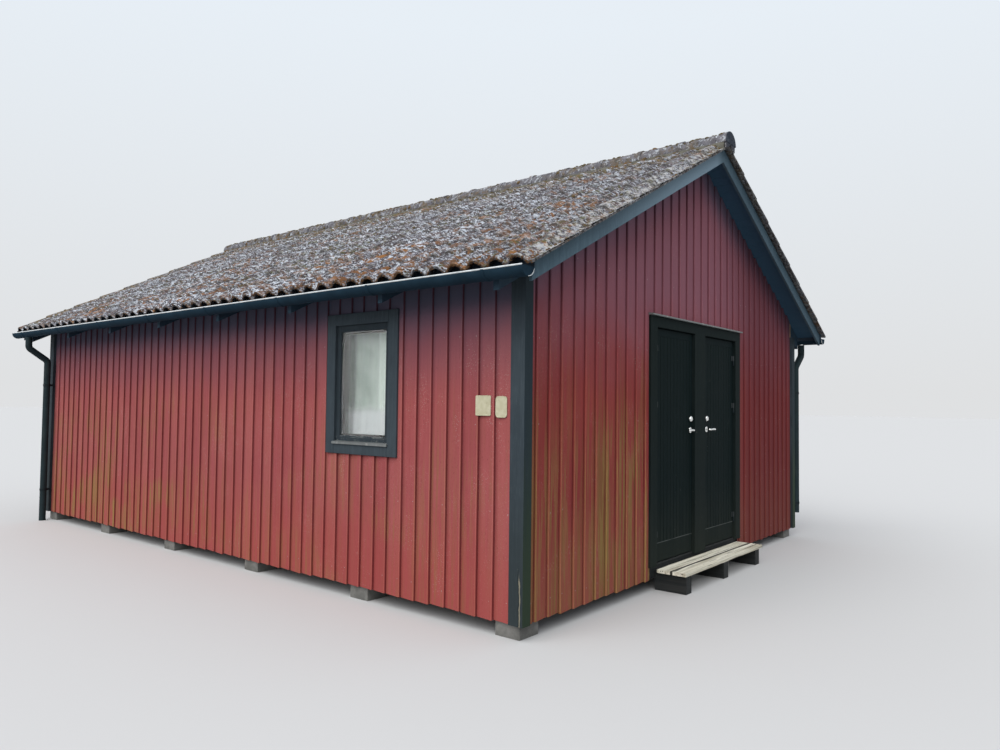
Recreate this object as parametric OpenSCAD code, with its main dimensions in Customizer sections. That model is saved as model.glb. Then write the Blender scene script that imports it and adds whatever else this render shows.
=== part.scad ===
// Timber boathouse on concrete piers: sizes in millimetres, +Z up, the doors face -Y, ridge along Y.

/* [Walls] */
// Length of the wall frame, along the ridge
wall_l = 7530; // [6000:10:9000]
// Width of the wall frame, across the gable
wall_w = 5228; // [4600:2:6200]
// Thickness of the walls
wall_t = 120; // [100:1:160]
// Height of the wall plate above the ground
plate_z = 2384; // [2300:1:2800]
// Depth left for the cladding boards
clad_t = 14; // [8:1:25]
// Thickness of the trim boards over the cladding
trim_t = 22; // [16:1:32]
// Width of the corner boards on the long sides
corner_side_w = 115; // [80:1:150]
// Width of the corner boards on the gables
corner_end_w = 85; // [60:1:150]

/* [Base] */
// Height of the piers above the ground
pier_h = 100; // [60:1:300]
// Side of a pier
pier_w = 200; // [150:5:300]
// Piers in each row
pier_n = 6; // [4:1:8]
// How far the piers stand back from the wall face
pier_back = 10; // [0:1:40]
// Height of the sill beams
sill_h = 100; // [80:1:150]
// Thickness of the floor boards
floor_t = 27; // [18:1:35]
// Thickness of a floor joist
joist_t = 45; // [35:1:70]
// Floor joists in all
joist_n = 13; // [8:1:16]
// Gap between the floor and the walls
floor_gap = 5; // [2:1:15]

/* [Roof] */
// Pitch of the roof in degrees
pitch = 27; // [22:0.5:32]
// Depth of a rafter
rafter_d = 120; // [95:1:170]
// Thickness of a rafter
rafter_t = 45; // [35:1:60]
// Rafter pairs
rafter_n = 8; // [5:1:10]
// Bearing of a rafter on the wall plate
seat_l = 60; // [40:1:90]
// Depth of a ceiling tie
tie_d = 120; // [80:1:170]
// Reach of the rafter tails past the wall frame
eave_out = 264; // [220:1:400]
// Thickness of the roof boards
deck_t = 22; // [18:1:28]
// Reach of the bargeboards past the wall frame
verge_out = 256; // [200:1:400]
// Thickness of the bargeboards
barge_t = 22; // [18:1:32]
// Height of the bargeboards
barge_h = 112; // [95:1:150]
// Space between the bargeboards' tops and the tiles
barge_gap = 1; // [1:1:6]

/* [Tiles] */
// Width of one roll of a tile, nearly
roll_w = 170; // [140:1:200]
// Height of a roll
roll_h = 48; // [30:1:60]
// Flat margin of the tiles beside the first roll and the last
tile_lip = 33; // [10:1:50]
// Thickness of a tile
tile_t = 13; // [10:1:20]
// Reach of the tiles past the roof boards, over the gutter
tile_out = 60; // [30:1:80]
// Reach of the tiles past the bargeboards
tile_verge = 52; // [30:1:70]
// Outer radius of a ridge tile
ridge_r = 105; // [95:1:130]
// Thickness of a ridge tile
ridge_t = 14; // [10:1:15]
// Reach of the ridge's closed ends past the tiles
ridge_past = 18; // [16:1:30]
// Length that one ridge tile covers, nearly
ridge_l = 420; // [300:10:600]
// Length of a ridge tile's collar
collar_l = 45; // [30:1:70]
// How far a collar stands out
collar_out = 9; // [5:1:15]

/* [Gutters] */
// Outer radius of a gutter
gutter_r = 62.5; // [50:0.5:75]
// Wall of a gutter
gutter_t = 2.5; // [2:0.5:4]
// Top of the gutters above the ground
gutter_z = 2331; // [2240:1:2336]
// Reach of a gutter past the bargeboards
gutter_past = 20; // [0:1:40]
// Thickness of a gutter bracket
bracket_t = 4; // [3:0.5:6]
// Width of a gutter bracket
bracket_w = 25; // [18:1:35]
// Outer radius of a downpipe
pipe_r = 37.5; // [30:0.5:45]
// Wall of a downpipe
pipe_t = 2.5; // [2:0.5:4]
// Radius of the bends of a swan neck
bend_r = 60; // [50:1:90]
// Bend of a swan neck in degrees
bend_a = 55; // [40:1:65]
// Straight length under the gutter
neck_l = 100; // [60:1:160]
// Distance from a downpipe's middle to the corner board
pipe_off = 77; // [60:1:100]
// Distance from the left downpipe to the back of the wall frame
pipe_back = 106; // [70:1:300]
// Distance from the right downpipe to the front of the wall frame
pipe_front = -20; // [-20:1:300]
// Height of the right downpipe's open end
pipe_end_z = 270; // [150:5:500]
// Height of the lower clips
clip_low_z = 370; // [350:5:700]
// Height of the upper clips
clip_high_z = 1670; // [1200:5:1750]
// Height of a clip
clip_h = 25; // [18:1:35]

/* [Doorway] */
// Clear width between the trim boards at each leaf
bay_w = 721; // [600:1:850]
// Width of the outer trim boards
door_trim_w = 118; // [95:1:140]
// Width of the middle post
post_w = 224; // [160:1:260]
// Height of the doorway's clear top above the ground
door_top_z = 2165; // [2000:1:2180]
// Height of the trim board over the doors
head_trim_h = 90; // [70:1:115]
// Thickness of the door frame
frame_t = 45; // [35:1:60]
// Height of the threshold above the sill beam
threshold_h = 15; // [10:1:30]
// Overlap of the stops behind the leaves
stop_lap = 12; // [8:1:20]
// Reach of the drip strip past the trim
drip_out = 26; // [15:1:40]
// Thickness of the drip strip
drip_t = 18; // [12:1:25]

/* [Doors] */
// Thickness of a leaf
leaf_t = 42; // [36:1:55]
// Recess of the leaves behind the trim
leaf_in = 25; // [22:1:30]
// Gap at the hinge side
hinge_gap = 15; // [14:1:20]
// Gap at the latch side
latch_gap = 8; // [7:1:12]
// Gap over and under a leaf
leaf_gap = 8; // [6:1:12]
// Height of the lowest hinge above a leaf's foot
hinge_low = 200; // [150:5:300]
// Height of the middle hinge above a leaf's foot
hinge_mid = 1276; // [900:1:1400]
// Distance from the top hinge to a leaf's top
hinge_top = 190; // [150:5:300]
// Radius of a hinge knuckle
knuckle_r = 7; // [6:0.5:8]
// Length of a hinge knuckle
knuckle_l = 48; // [35:1:60]
// Radius of a hinge pin
pin_r = 3.5; // [3:0.1:4]
// Running clearance of pins and spindles
run_c = 0.3; // [0.2:0.05:0.5]
// Height of the levers above the ground
lever_z = 1298; // [1150:1:1350]
// Height of the lock cylinders above the levers
lock_up = 100; // [80:1:120]
// Distance from the levers to the latch edge
backset = 52; // [45:1:70]
// Radius of a rose
rose_r = 26; // [22:0.5:30]
// Thickness of a rose
rose_t = 9; // [6:1:12]
// Thickness of a lock cylinder's rose outside
lock_t = 13; // [8:1:16]
// Radius of a spindle
spindle_r = 8; // [6:0.5:10]
// Length of a lever
lever_l = 118; // [100:1:140]
// Radius of a lever
lever_r = 9; // [7:0.5:11]
// Reach of a lever's middle from the leaf
lever_out = 48; // [40:1:60]

/* [Step] */
// How far the step ends inside the door trim's outer edges
step_in = 106; // [40:1:250]
// Distance from the end supports' middles to the step's ends
support_in = 90; // [60:5:200]
// Width of a step plank
plank_w = 122; // [95:1:150]
// Thickness of a step plank
plank_t = 28; // [22:1:45]
// Gap between the planks
plank_gap = 10; // [5:1:20]
// Gap behind the step
step_gap = 4; // [2:1:15]
// Height of the step's top
step_z = 178; // [120:1:200]
// Width of a step support
support_w = 95; // [70:1:145]

/* [Windows] */
// Width of the window frame
win_w = 670; // [500:5:900]
// Height of the window frame
win_h = 950; // [700:5:1000]
// Distance from the front of the wall frame to the window's middle
win_y = 1556; // [1000:5:3000]
// Height of the window's middle
win_z = 1658; // [1500:1:1700]
// Width of the casing boards
casing_w = 90; // [70:1:110]
// Overlap of the casing on the window frame
casing_lap = 15; // [8:1:20]
// Width of the frame's members
jamb_w = 45; // [35:1:55]
// Depth of the window frame
jamb_d = 100; // [80:1:100]
// Width of the sash's members
sash_w = 35; // [28:1:45]
// Depth of the sash
sash_d = 45; // [35:1:55]
// Recess of the sash
sash_in = 18; // [10:1:25]
// Thickness of the glass
glass_t = 6; // [4:1:12]
// Thickness of the sill sheet
sheet_t = 3; // [2:0.5:4]
// Reach of the sill sheet past the casing
sheet_out = 12; // [8:1:25]
// Fall of the sill sheet
sheet_fall = 10; // [5:1:15]
// Radius of the curtain rod
rod_r = 5; // [4:0.5:8]
// Width of the curtain
curtain_w = 380; // [200:5:480]
// Thickness of the curtain's folds
curtain_t = 26; // [18:1:40]

/* [Hidden] */
$fn = 48;
eps = 1;
h = wall_w / 2;
trim_out = clad_t + trim_t;
tanp = tan(pitch);
cosp = cos(pitch);
// Reach of the whole in front of the wall frame, and behind it
step_reach = trim_out + step_gap + 2 * plank_w + plank_gap;
back_reach = verge_out + max(tile_verge + ridge_past, gutter_past);
front_reach = max(step_reach, back_reach);
y_f = front_reach - (wall_l + front_reach + back_reach) / 2;
y_b = y_f + wall_l;
sill_top = pier_h + sill_h;
// Heights of the roof's planes at distance u from the ridge line
function raf_low(u) = plate_z - seat_l * tanp + (h - u) * tanp;
function raf_top(u) = raf_low(u) + rafter_d / cosp;
function deck_top(u) = raf_top(u) + deck_t / cosp;
function barge_top(u) = deck_top(u) - barge_gap / cosp;
function barge_low(u) = barge_top(u) - barge_h / cosp;
function crest_top(u) = deck_top(u) + (roll_h + tile_t) / cosp;
eave_u = h + eave_out;
tile_u = eave_u + tile_out;
// Doorway
half_w = post_w / 2 + bay_w + door_trim_w;
open_half = half_w - door_trim_w + frame_t;
stop_y = y_f - trim_out + leaf_in + leaf_t + 5;
face_y = y_f - trim_out + leaf_in;
head_top_z = door_top_z + frame_t;
threshold_z = sill_top + threshold_h;
leaf_w = bay_w - hinge_gap - latch_gap;
leaf_z0 = threshold_z + leaf_gap;
leaf_z1 = door_top_z - leaf_gap;
axis_x = post_w / 2 + bay_w - hinge_gap + 1;
axis_y = face_y - knuckle_r - 1;
lever_x = post_w / 2 + latch_gap + backset;
hinge_zs = [leaf_z0 + hinge_low, leaf_z0 + hinge_mid, leaf_z1 - hinge_top];
step_l = 2 * (half_w - step_in);
// Gutter and pipe
gutter_u = eave_u + bracket_t + gutter_r;
pipe_u = h + trim_out + pipe_off;
neck_top = gutter_z - gutter_r - run_c;
neck_in = gutter_u - pipe_u;
diag_l = (neck_in - 2 * bend_r * (1 - cos(bend_a))) / sin(bend_a);
bend1_z = neck_top - neck_l;
pipe_top = bend1_z - 2 * bend_r * sin(bend_a) - diag_l * cos(bend_a);
// Window
cas_w = win_w - 2 * casing_lap;
cas_h = win_h - 2 * casing_lap;
sash_ow = win_w - 2 * jamb_w;
sash_oh = win_h - 2 * jamb_w;
pane_w = sash_ow - 2 * sash_w;
pane_h = sash_oh - 2 * sash_w;
rod_z = win_z + pane_h / 2 + 30;
verge_y = y_f - verge_out - tile_verge;
roof_l = wall_l + 2 * (verge_out + tile_verge);
rolls_l = roof_l - 2 * tile_lip;
roll_n = round(rolls_l / roll_w);
roll_p = rolls_l / roll_n;

// Extrudes an outline drawn in X and Z along Y, from y0
module prism(y0, t) {
  translate([0, y0 + t, 0]) rotate([90, 0, 0]) linear_extrude(height = t) children();
}
// Extrudes an outline drawn in Y and Z along X, from x0
module bar(x0, l) {
  translate([x0, 0, 0]) rotate([90, 0, 90]) linear_extrude(height = l) children();
}
module both_sides() {
  children();
  mirror([1, 0, 0]) children();
}
module box(a, b) {
  translate(a) cube([b[0] - a[0], b[1] - a[1], b[2] - a[2]]);
}

function pier_y(i) = y_f + pier_w / 2 + 20 + i * (wall_l - pier_w - 40) / (pier_n - 1);
function joist_y(i) = y_f + wall_t + 20 + i * (wall_l - 2 * wall_t - joist_t - 40) / (joist_n - 1);
// A pier of the middle row stands under the nearest joist, the end ones under the end sills too
function middle_y(i) = (i == 0 || i == pier_n - 1) ? pier_y(i)
  : joist_y(round(i * (joist_n - 1) / (pier_n - 1))) + joist_t / 2;
module pier(x, y) {
  translate([x - pier_w / 2, y - pier_w / 2, 0]) cube([pier_w, pier_w, pier_h]);
}
module pier_row(x) {
  for (i = [0 : pier_n - 1]) pier(x, pier_y(i));
}
module piers() {
  color("silver") {
    pier_row(-h + pier_back + pier_w / 2);
    for (i = [0 : pier_n - 1]) pier(0, middle_y(i));
    pier_row(h - pier_back - pier_w / 2);
  }
}
module sill_beams() {
  color("dimgray") difference() {
    box([-h, y_f, pier_h], [h, y_b, sill_top]);
    box([-h + wall_t, y_f + wall_t, pier_h - eps], [h - wall_t, y_b - wall_t, sill_top + eps]);
  }
}
joist_h = sill_h + threshold_h - floor_t;
module floor_joists() {
  color("burlywood") for (i = [0 : joist_n - 1])
    translate([-h + wall_t, joist_y(i), pier_h]) cube([wall_w - 2 * wall_t, joist_t, joist_h]);
}
module floor() {
  color("tan") box([-h + wall_t + floor_gap, y_f + wall_t + floor_gap, threshold_z - floor_t],
    [h - wall_t - floor_gap, y_b - wall_t - floor_gap, threshold_z]);
}

module side_wall() {
  difference() {
    box([-h, y_f, sill_top], [-h + wall_t, y_b, plate_z]);
    box([-h - eps, y_f + win_y - win_w / 2, win_z - win_h / 2],
      [-h + wall_t + eps, y_f + win_y + win_w / 2, win_z + win_h / 2]);
  }
}
module left_wall() { color("firebrick") side_wall(); }
module right_wall() { color("firebrick") mirror([1, 0, 0]) side_wall(); }
module gable_outline(z0) {
  polygon([[-h + wall_t, z0], [h - wall_t, z0], [h - wall_t, raf_low(h - wall_t)], [0, raf_low(0)],
    [-h + wall_t, raf_low(h - wall_t)]]);
}
module back_wall() { color("firebrick") prism(y_b - wall_t, wall_t) gable_outline(sill_top); }
module front_side_wall() {
  box([-h + wall_t, y_f, sill_top], [-open_half, y_f + wall_t, head_top_z]);
}
module front_wall_left() { color("firebrick") front_side_wall(); }
module front_wall_right() { color("firebrick") mirror([1, 0, 0]) front_side_wall(); }
module front_gable() { color("firebrick") prism(y_f, wall_t) gable_outline(head_top_z); }

// One corner's two boards, with their tops under the rafters and the bargeboards
module corner_pair() {
  board_top = raf_low(h + trim_out);
  box([-h - trim_out, y_f - trim_out, pier_h], [-h, y_f + corner_side_w - trim_out, board_top]);
  box([-h - eps, y_f - trim_out, pier_h], [-h - trim_out + corner_end_w, y_f, board_top]);
}
module corner_boards() {
  color("darkslategray") both_sides() {
    corner_pair();
    translate([0, y_f + y_b, 0]) mirror([0, 1, 0]) corner_pair();
  }
}

function rafter_y(i) = y_f + i * (wall_l - rafter_t) / (rafter_n - 1);
module rafter_outline() {
  polygon([[0, raf_top(0)], [-eave_u, raf_top(eave_u)], [-eave_u, raf_low(eave_u)], [-h, raf_low(h)],
    [-h, plate_z], [-h + seat_l, plate_z], [0, raf_low(0)]]);
}
module rafter_row() {
  for (i = [0 : rafter_n - 1]) prism(rafter_y(i), rafter_t) rafter_outline();
}
module rafters_left() { color("darkslategray") rafter_row(); }
module rafters_right() { color("darkslategray") mirror([1, 0, 0]) rafter_row(); }
module ceiling_ties() {
  top_h = raf_top(h) - run_c;
  tie_u = h - max(0, (plate_z + tie_d - top_h) / tanp);
  end_z = min(top_h, plate_z + tie_d);
  color("burlywood") for (i = [1 : rafter_n - 2])
    prism(rafter_y(i) + rafter_t, rafter_t) polygon([[-h, plate_z], [h, plate_z], [h, end_z],
      [tie_u, plate_z + tie_d], [-tie_u, plate_z + tie_d], [-h, end_z]]);
}

module deck() {
  prism(y_f - verge_out + barge_t, wall_l + 2 * (verge_out - barge_t))
    polygon([[0, raf_top(0)], [0, deck_top(0)], [-eave_u, deck_top(eave_u)], [-eave_u, raf_top(eave_u)]]);
}
module roof_deck_left() { color("peru") deck(); }
module roof_deck_right() { color("peru") mirror([1, 0, 0]) deck(); }

// Height of the tile's underside over its troughs, across the rolls: round crests with flat strips between
roll_steps = 8;
function roll(i) = roll_h * sqrt(max(0, (0.44 - cos(360 * i / roll_steps) / 2) - 0.06) / 0.88);
roll_pts = concat([[0, 0]], [for (i = [0 : roll_n * roll_steps]) [tile_lip + i * roll_p / roll_steps, roll(i)]],
  [[roof_l, 0]]);
function reversed(p) = [for (i = [len(p) - 1 : -1 : 0]) p[i]];
tile_outline = concat(roll_pts, reversed([for (p = roll_pts) [p[0], p[1] + tile_t]]));
// A slope's tiles, cut square to the slope at the eave and upright at the ridge
module tiles() {
  slope_l = tile_u / cosp + 2 * roll_h;
  intersection() {
    translate([-tile_u, verge_y, deck_top(tile_u) + run_c])
      rotate([0, -pitch, 0]) rotate([90, 0, 90]) linear_extrude(height = slope_l) polygon(tile_outline);
    box([-2 * h, verge_y - eps, 0], [-1, verge_y + roof_l + eps, 2 * plate_z + h]);
  }
}
module roof_tiles_left() { color("gray") tiles(); }
module roof_tiles_right() { color("gray") mirror([1, 0, 0]) tiles(); }

ridge_z = crest_top(ridge_r - ridge_t) + run_c;
ridge_y0 = verge_y - ridge_past;
ridge_len = roof_l + 2 * ridge_past;
ridge_n = round(ridge_len / ridge_l);
module half_ring(r, t, l) {
  prism(0, l) intersection() {
    difference() {
      circle(r = r);
      circle(r = r - t);
    }
    translate([-r, 0]) square([2 * r, r]);
  }
}
// The ridge's tiles overlap under their collars, and the end ones are closed
module ridge_tiles() {
  color("gray") translate([0, ridge_y0, ridge_z]) {
    half_ring(ridge_r, ridge_t, ridge_len);
    for (i = [0 : ridge_n - 1])
      translate([0, i * ridge_len / ridge_n, 0]) half_ring(ridge_r + collar_out, collar_out + eps, collar_l);
    for (y = [0, ridge_len - ridge_t]) translate([0, y, 0]) half_ring(ridge_r - eps, ridge_r - eps, ridge_t);
  }
}

module barge_pair() {
  both_sides() prism(0, barge_t) polygon([[0, barge_low(0)], [0, barge_top(0)], [-eave_u, barge_top(eave_u)],
    [-eave_u, barge_low(eave_u)]]);
}
module front_bargeboards() { color("darkslategray") translate([0, y_f - verge_out, 0]) barge_pair(); }
module back_bargeboards() {
  color("darkslategray") translate([0, y_b + verge_out, 0]) mirror([0, 1, 0]) barge_pair();
}

gutter_y0 = y_f - verge_out - gutter_past;
gutter_len = wall_l + 2 * verge_out + 2 * gutter_past;
left_pipe_y = y_b - pipe_back;
right_pipe_y = y_f + pipe_front;
module gutter_shape(pipe_y) {
  translate([-gutter_u, 0, gutter_z]) difference() {
    union() {
      translate([0, gutter_y0, 0]) difference() {
        prism(0, gutter_len) circle(r = gutter_r);
        prism(gutter_t, gutter_len - 2 * gutter_t) circle(r = gutter_r - gutter_t);
      }
    }
    box([-gutter_r - eps, gutter_y0 - eps, 0], [gutter_r + eps, gutter_y0 + gutter_len + eps, gutter_r + eps]);
    translate([0, pipe_y, -gutter_r - eps]) cylinder(r = pipe_r - pipe_t, h = gutter_r);
  }
}
module gutter_left() { color("darkslategray") gutter_shape(left_pipe_y); }
module gutter_right() { color("darkslategray") mirror([1, 0, 0]) gutter_shape(right_pipe_y); }
// A strap round the gutter's underside, with a back plate on the rafter's end
module bracket(y) {
  translate([-gutter_u, y - bracket_w / 2, gutter_z]) {
    prism(0, bracket_w) difference() {
      circle(r = gutter_r + bracket_t);
      circle(r = gutter_r + run_c);
      translate([-gutter_r - 2 * bracket_t, 0]) square([2 * gutter_r + 4 * bracket_t, 2 * gutter_r]);
    }
    box([gutter_r + run_c, 0, -eps], [gutter_r + bracket_t, bracket_w, raf_top(eave_u) - gutter_z]);
  }
}
module gutter_brackets() {
  slip = (rafter_t - bracket_w) / 2;
  color("darkslategray") both_sides() for (i = [0 : rafter_n - 1])
    bracket(rafter_y(i) + rafter_t / 2 + (i == 0 ? slip : 0) - (i == rafter_n - 1 ? slip : 0));
}

module tube_ring() {
  difference() {
    circle(r = pipe_r);
    circle(r = pipe_r - pipe_t);
  }
}
// A bend in the XZ plane that starts downwards and turns towards +X: straight, elbow, straight, elbow
module neck_path() {
  drop1 = bend_r * sin(bend_a);
  in1 = bend_r * (1 - cos(bend_a));
  translate([0, 0, -neck_l + run_c]) linear_extrude(height = neck_l - run_c) tube_ring();
  translate([0, 0, -neck_l]) {
    translate([bend_r, 0, 0]) rotate([-90, 0, 0]) rotate([0, 0, 180 - bend_a])
      rotate_extrude(angle = bend_a) translate([bend_r, 0]) tube_ring();
    translate([in1, 0, -drop1]) rotate([0, 180 - bend_a, 0]) translate([0, 0, run_c])
      linear_extrude(height = diag_l - 2 * run_c) tube_ring();
    translate([in1 + diag_l * sin(bend_a), 0, -drop1 - diag_l * cos(bend_a)])
      translate([-bend_r * cos(bend_a), 0, -bend_r * sin(bend_a)]) rotate([-90, 0, 0]) rotate([0, 0, -bend_a])
        rotate_extrude(angle = bend_a) translate([bend_r, 0]) tube_ring();
  }
}
module swan_necks() {
  color("darkslategray") {
    translate([-gutter_u, left_pipe_y, neck_top]) neck_path();
    mirror([1, 0, 0]) translate([-gutter_u, right_pipe_y, neck_top]) neck_path();
  }
}
module downpipes() {
  color("darkslategray") {
    translate([-pipe_u, left_pipe_y, 0]) linear_extrude(height = pipe_top - run_c) tube_ring();
    translate([pipe_u, right_pipe_y, pipe_end_z]) linear_extrude(height = pipe_top - run_c - pipe_end_z) tube_ring();
  }
}
module clip(x, y, z) {
  translate([x, y, z]) difference() {
    union() {
      cylinder(r = pipe_r + 3.5, h = clip_h);
      box([0, -8, 0], [pipe_off, 8, clip_h]);
    }
    translate([0, 0, -eps]) cylinder(r = pipe_r + run_c, h = clip_h + 2 * eps);
  }
}
module pipe_clips() {
  color("darkslategray") {
    clip(-pipe_u, left_pipe_y, clip_low_z);
    clip(-pipe_u, left_pipe_y, clip_high_z);
    mirror([1, 0, 0]) {
      clip(-pipe_u, right_pipe_y, clip_low_z);
      clip(-pipe_u, right_pipe_y, clip_high_z);
    }
  }
}

// A jamb's section at the left of the doorway: trim, frame and stop
module jamb_section() {
  x_c = -post_w / 2 - bay_w;
  polygon([[x_c - door_trim_w, y_f - trim_out], [x_c, y_f - trim_out], [x_c, stop_y],
    [x_c + hinge_gap + stop_lap, stop_y], [x_c + hinge_gap + stop_lap, y_f + wall_t],
    [x_c - frame_t, y_f + wall_t], [x_c - frame_t, y_f], [x_c - door_trim_w, y_f]]);
}
module post_section() {
  x_c = post_w / 2;
  polygon([[-x_c, y_f - trim_out], [x_c, y_f - trim_out], [x_c, stop_y], [x_c + latch_gap + stop_lap, stop_y],
    [x_c + latch_gap + stop_lap, y_f + wall_t], [-x_c - latch_gap - stop_lap, y_f + wall_t],
    [-x_c - latch_gap - stop_lap, stop_y], [-x_c, stop_y]]);
}
module door_posts() {
  post_h = door_top_z - sill_top;
  color("darkslategray") translate([0, 0, sill_top]) {
    both_sides() linear_extrude(height = post_h) jamb_section();
    linear_extrude(height = post_h) post_section();
  }
}
module door_head() {
  x_in = post_w / 2 + latch_gap + stop_lap;
  x_out = post_w / 2 + bay_w - hinge_gap - stop_lap;
  color("darkslategray") {
    bar(-half_w, 2 * half_w) polygon([[y_f - trim_out, door_top_z], [y_f, door_top_z],
      [y_f, door_top_z + head_trim_h], [y_f - trim_out, door_top_z + head_trim_h]]);
    bar(-open_half, 2 * open_half) polygon([[y_f - eps, door_top_z], [y_f + wall_t, door_top_z],
      [y_f + wall_t, head_top_z], [y_f - eps, head_top_z]]);
    both_sides() box([x_in, stop_y, door_top_z - leaf_gap - stop_lap], [x_out, y_f + wall_t, door_top_z + eps]);
  }
}
module door_threshold() {
  x_in = post_w / 2 + latch_gap + stop_lap;
  x_out = post_w / 2 + bay_w - hinge_gap - stop_lap;
  color("gray") both_sides() {
    box([post_w / 2, face_y, sill_top], [post_w / 2 + bay_w, stop_y, threshold_z]);
    box([x_in, stop_y - eps, sill_top], [x_out, y_f + wall_t, threshold_z]);
  }
}
module drip_strip() {
  z0 = door_top_z + head_trim_h;
  color("darkslategray") bar(-half_w - 10, 2 * half_w + 20) polygon([[y_f, z0],
    [y_f - trim_out - drip_out, z0], [y_f - trim_out - drip_out, z0 + drip_t - 6], [y_f, z0 + drip_t + 6]]);
}

module leaf() {
  x1 = -post_w / 2 - latch_gap;
  difference() {
    box([x1 - leaf_w, face_y, leaf_z0], [x1, face_y + leaf_t, leaf_z1]);
    translate([-lever_x, face_y - eps, lever_z]) rotate([-90, 0, 0])
      cylinder(r = spindle_r + run_c, h = leaf_t + 2 * eps);
  }
}
module left_door() { color("darkslategray") leaf(); }
module right_door() { color("darkslategray") mirror([1, 0, 0]) leaf(); }
// A leaf's levers inside and out, with side -1 for the left leaf
module lever(side) {
  y_in = face_y + leaf_t + lever_out;
  y_out = face_y - lever_out;
  translate([side * lever_x, y_out, lever_z]) rotate([-90, 0, 0]) cylinder(r = spindle_r, h = y_in - y_out);
  for (y = [y_out, y_in]) translate([side * lever_x, y, lever_z]) {
    rotate([0, side * 90, 0]) cylinder(r = lever_r, h = lever_l - lever_r);
    translate([side * (lever_l - lever_r), 0, 0]) sphere(r = lever_r);
    sphere(r = lever_r);
  }
}
module left_lever() { color("gainsboro") lever(-1); }
module right_lever() { color("gainsboro") lever(1); }
module rose(y) {
  translate([-lever_x, y, lever_z]) rotate([-90, 0, 0]) difference() {
    cylinder(r = rose_r, h = rose_t);
    translate([0, 0, -eps]) cylinder(r = spindle_r + run_c, h = rose_t + 2 * eps);
  }
}
module lock(y, l) {
  translate([-lever_x, y, lever_z + lock_up]) rotate([-90, 0, 0]) cylinder(r = rose_r, h = l);
}
module moving_knuckle(z) {
  translate([-axis_x, axis_y, z + run_c]) difference() {
    union() {
      cylinder(r = knuckle_r, h = knuckle_l);
      box([0, face_y - axis_y - 2.5, 0], [34, face_y - axis_y, knuckle_l]);
    }
    translate([0, 0, -eps]) cylinder(r = pin_r + run_c, h = knuckle_l + 2 * eps);
  }
}
module fittings() {
  rose(face_y - rose_t);
  rose(face_y + leaf_t);
  lock(face_y - lock_t, lock_t);
  lock(face_y + leaf_t, rose_t);
  for (z = hinge_zs) moving_knuckle(z);
}
module left_door_fittings() { color("gainsboro") fittings(); }
module right_door_fittings() { color("gainsboro") mirror([1, 0, 0]) fittings(); }
module fixed_knuckle(z) {
  x_c = -post_w / 2 - bay_w;
  translate([-axis_x, axis_y, z - knuckle_l]) {
    cylinder(r = knuckle_r, h = knuckle_l);
    translate([0, 0, knuckle_l - eps]) cylinder(r = pin_r, h = knuckle_l - 4);
  }
  box([x_c, axis_y - 2, z - knuckle_l], [-axis_x, axis_y + 2, z]);
}
module hinge_pins() {
  color("gray") both_sides() for (z = hinge_zs) fixed_knuckle(z);
}

module step_planks() {
  y1 = y_f - trim_out - step_gap;
  color("lightgray") for (i = [0, 1])
    box([-step_l / 2, y1 - plank_w - i * (plank_w + plank_gap), step_z - plank_t],
      [step_l / 2, y1 - i * (plank_w + plank_gap), step_z]);
}
module step_supports() {
  y1 = y_f - trim_out - step_gap;
  color("dimgray") for (x = [-step_l / 2 + support_in, 0, step_l / 2 - support_in])
    box([x - support_w / 2, y1 - 2 * plank_w - plank_gap + 15, 0], [x + support_w / 2, y_f, step_z - plank_t]);
}

// A ring drawn in Y and Z round the window's middle, run along X from x0
module ring(x0, l, w, t, m) {
  translate([0, y_f + win_y, win_z]) bar(x0, l) difference() {
    square([w, t], center = true);
    square([w - 2 * m, t - 2 * m], center = true);
  }
}
module window_casings() {
  color("darkslategray") both_sides()
    ring(-h - trim_out, trim_out, cas_w + 2 * casing_w, cas_h + 2 * casing_w, casing_w);
}
module window_frame() {
  ring(-h, jamb_d, win_w, win_h, jamb_w);
  ring(-h + sash_in, sash_d, sash_ow + 2 * eps, sash_oh + 2 * eps, sash_w + eps);
}
module curtain_rod() {
  x_r = -h + wall_t + 2 + curtain_t / 2;
  y_c = y_f + win_y;
  translate([x_r, y_c - win_w / 2 + jamb_w / 2, rod_z]) rotate([-90, 0, 0]) cylinder(r = rod_r, h = win_w - jamb_w);
  for (s = [-1, 1])
    translate([-h + jamb_d - eps, y_c + s * (win_w - jamb_w) / 2 - 6, rod_z - 6]) cube([x_r + h - jamb_d + eps, 12, 12]);
}
module window_frames() {
  color("darkslategray") {
    both_sides() window_frame();
    curtain_rod();
  }
}
module window_glass() {
  color("lightblue") both_sides()
    translate([-h + sash_in + sash_d / 2 - glass_t / 2, y_f + win_y - pane_w / 2, win_z - pane_h / 2])
      cube([glass_t, pane_w, pane_h]);
}
// A sheet that falls outwards over the lower casing board, with a turned-down edge
module window_sills() {
  z0 = win_z - cas_h / 2 + run_c;
  x1 = -h - trim_out - sheet_out;
  y0 = y_f + win_y - cas_w / 2;
  color("gray") both_sides() prism(y0, cas_w) polygon([[-h, z0], [-h, z0 + sheet_t + sheet_fall],
    [x1, z0 + sheet_t], [x1, z0 - 14], [x1 + sheet_t, z0 - 14], [x1 + sheet_t, z0]]);
}
module curtain() {
  y1 = y_f + win_y - pane_w / 2 - 20;
  color("white") box([-h + wall_t + 2, y1, win_z - win_h / 2 + 30],
    [-h + wall_t + 2 + curtain_t, y1 + curtain_w, rod_z - rod_r - run_c]);
}

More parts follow.
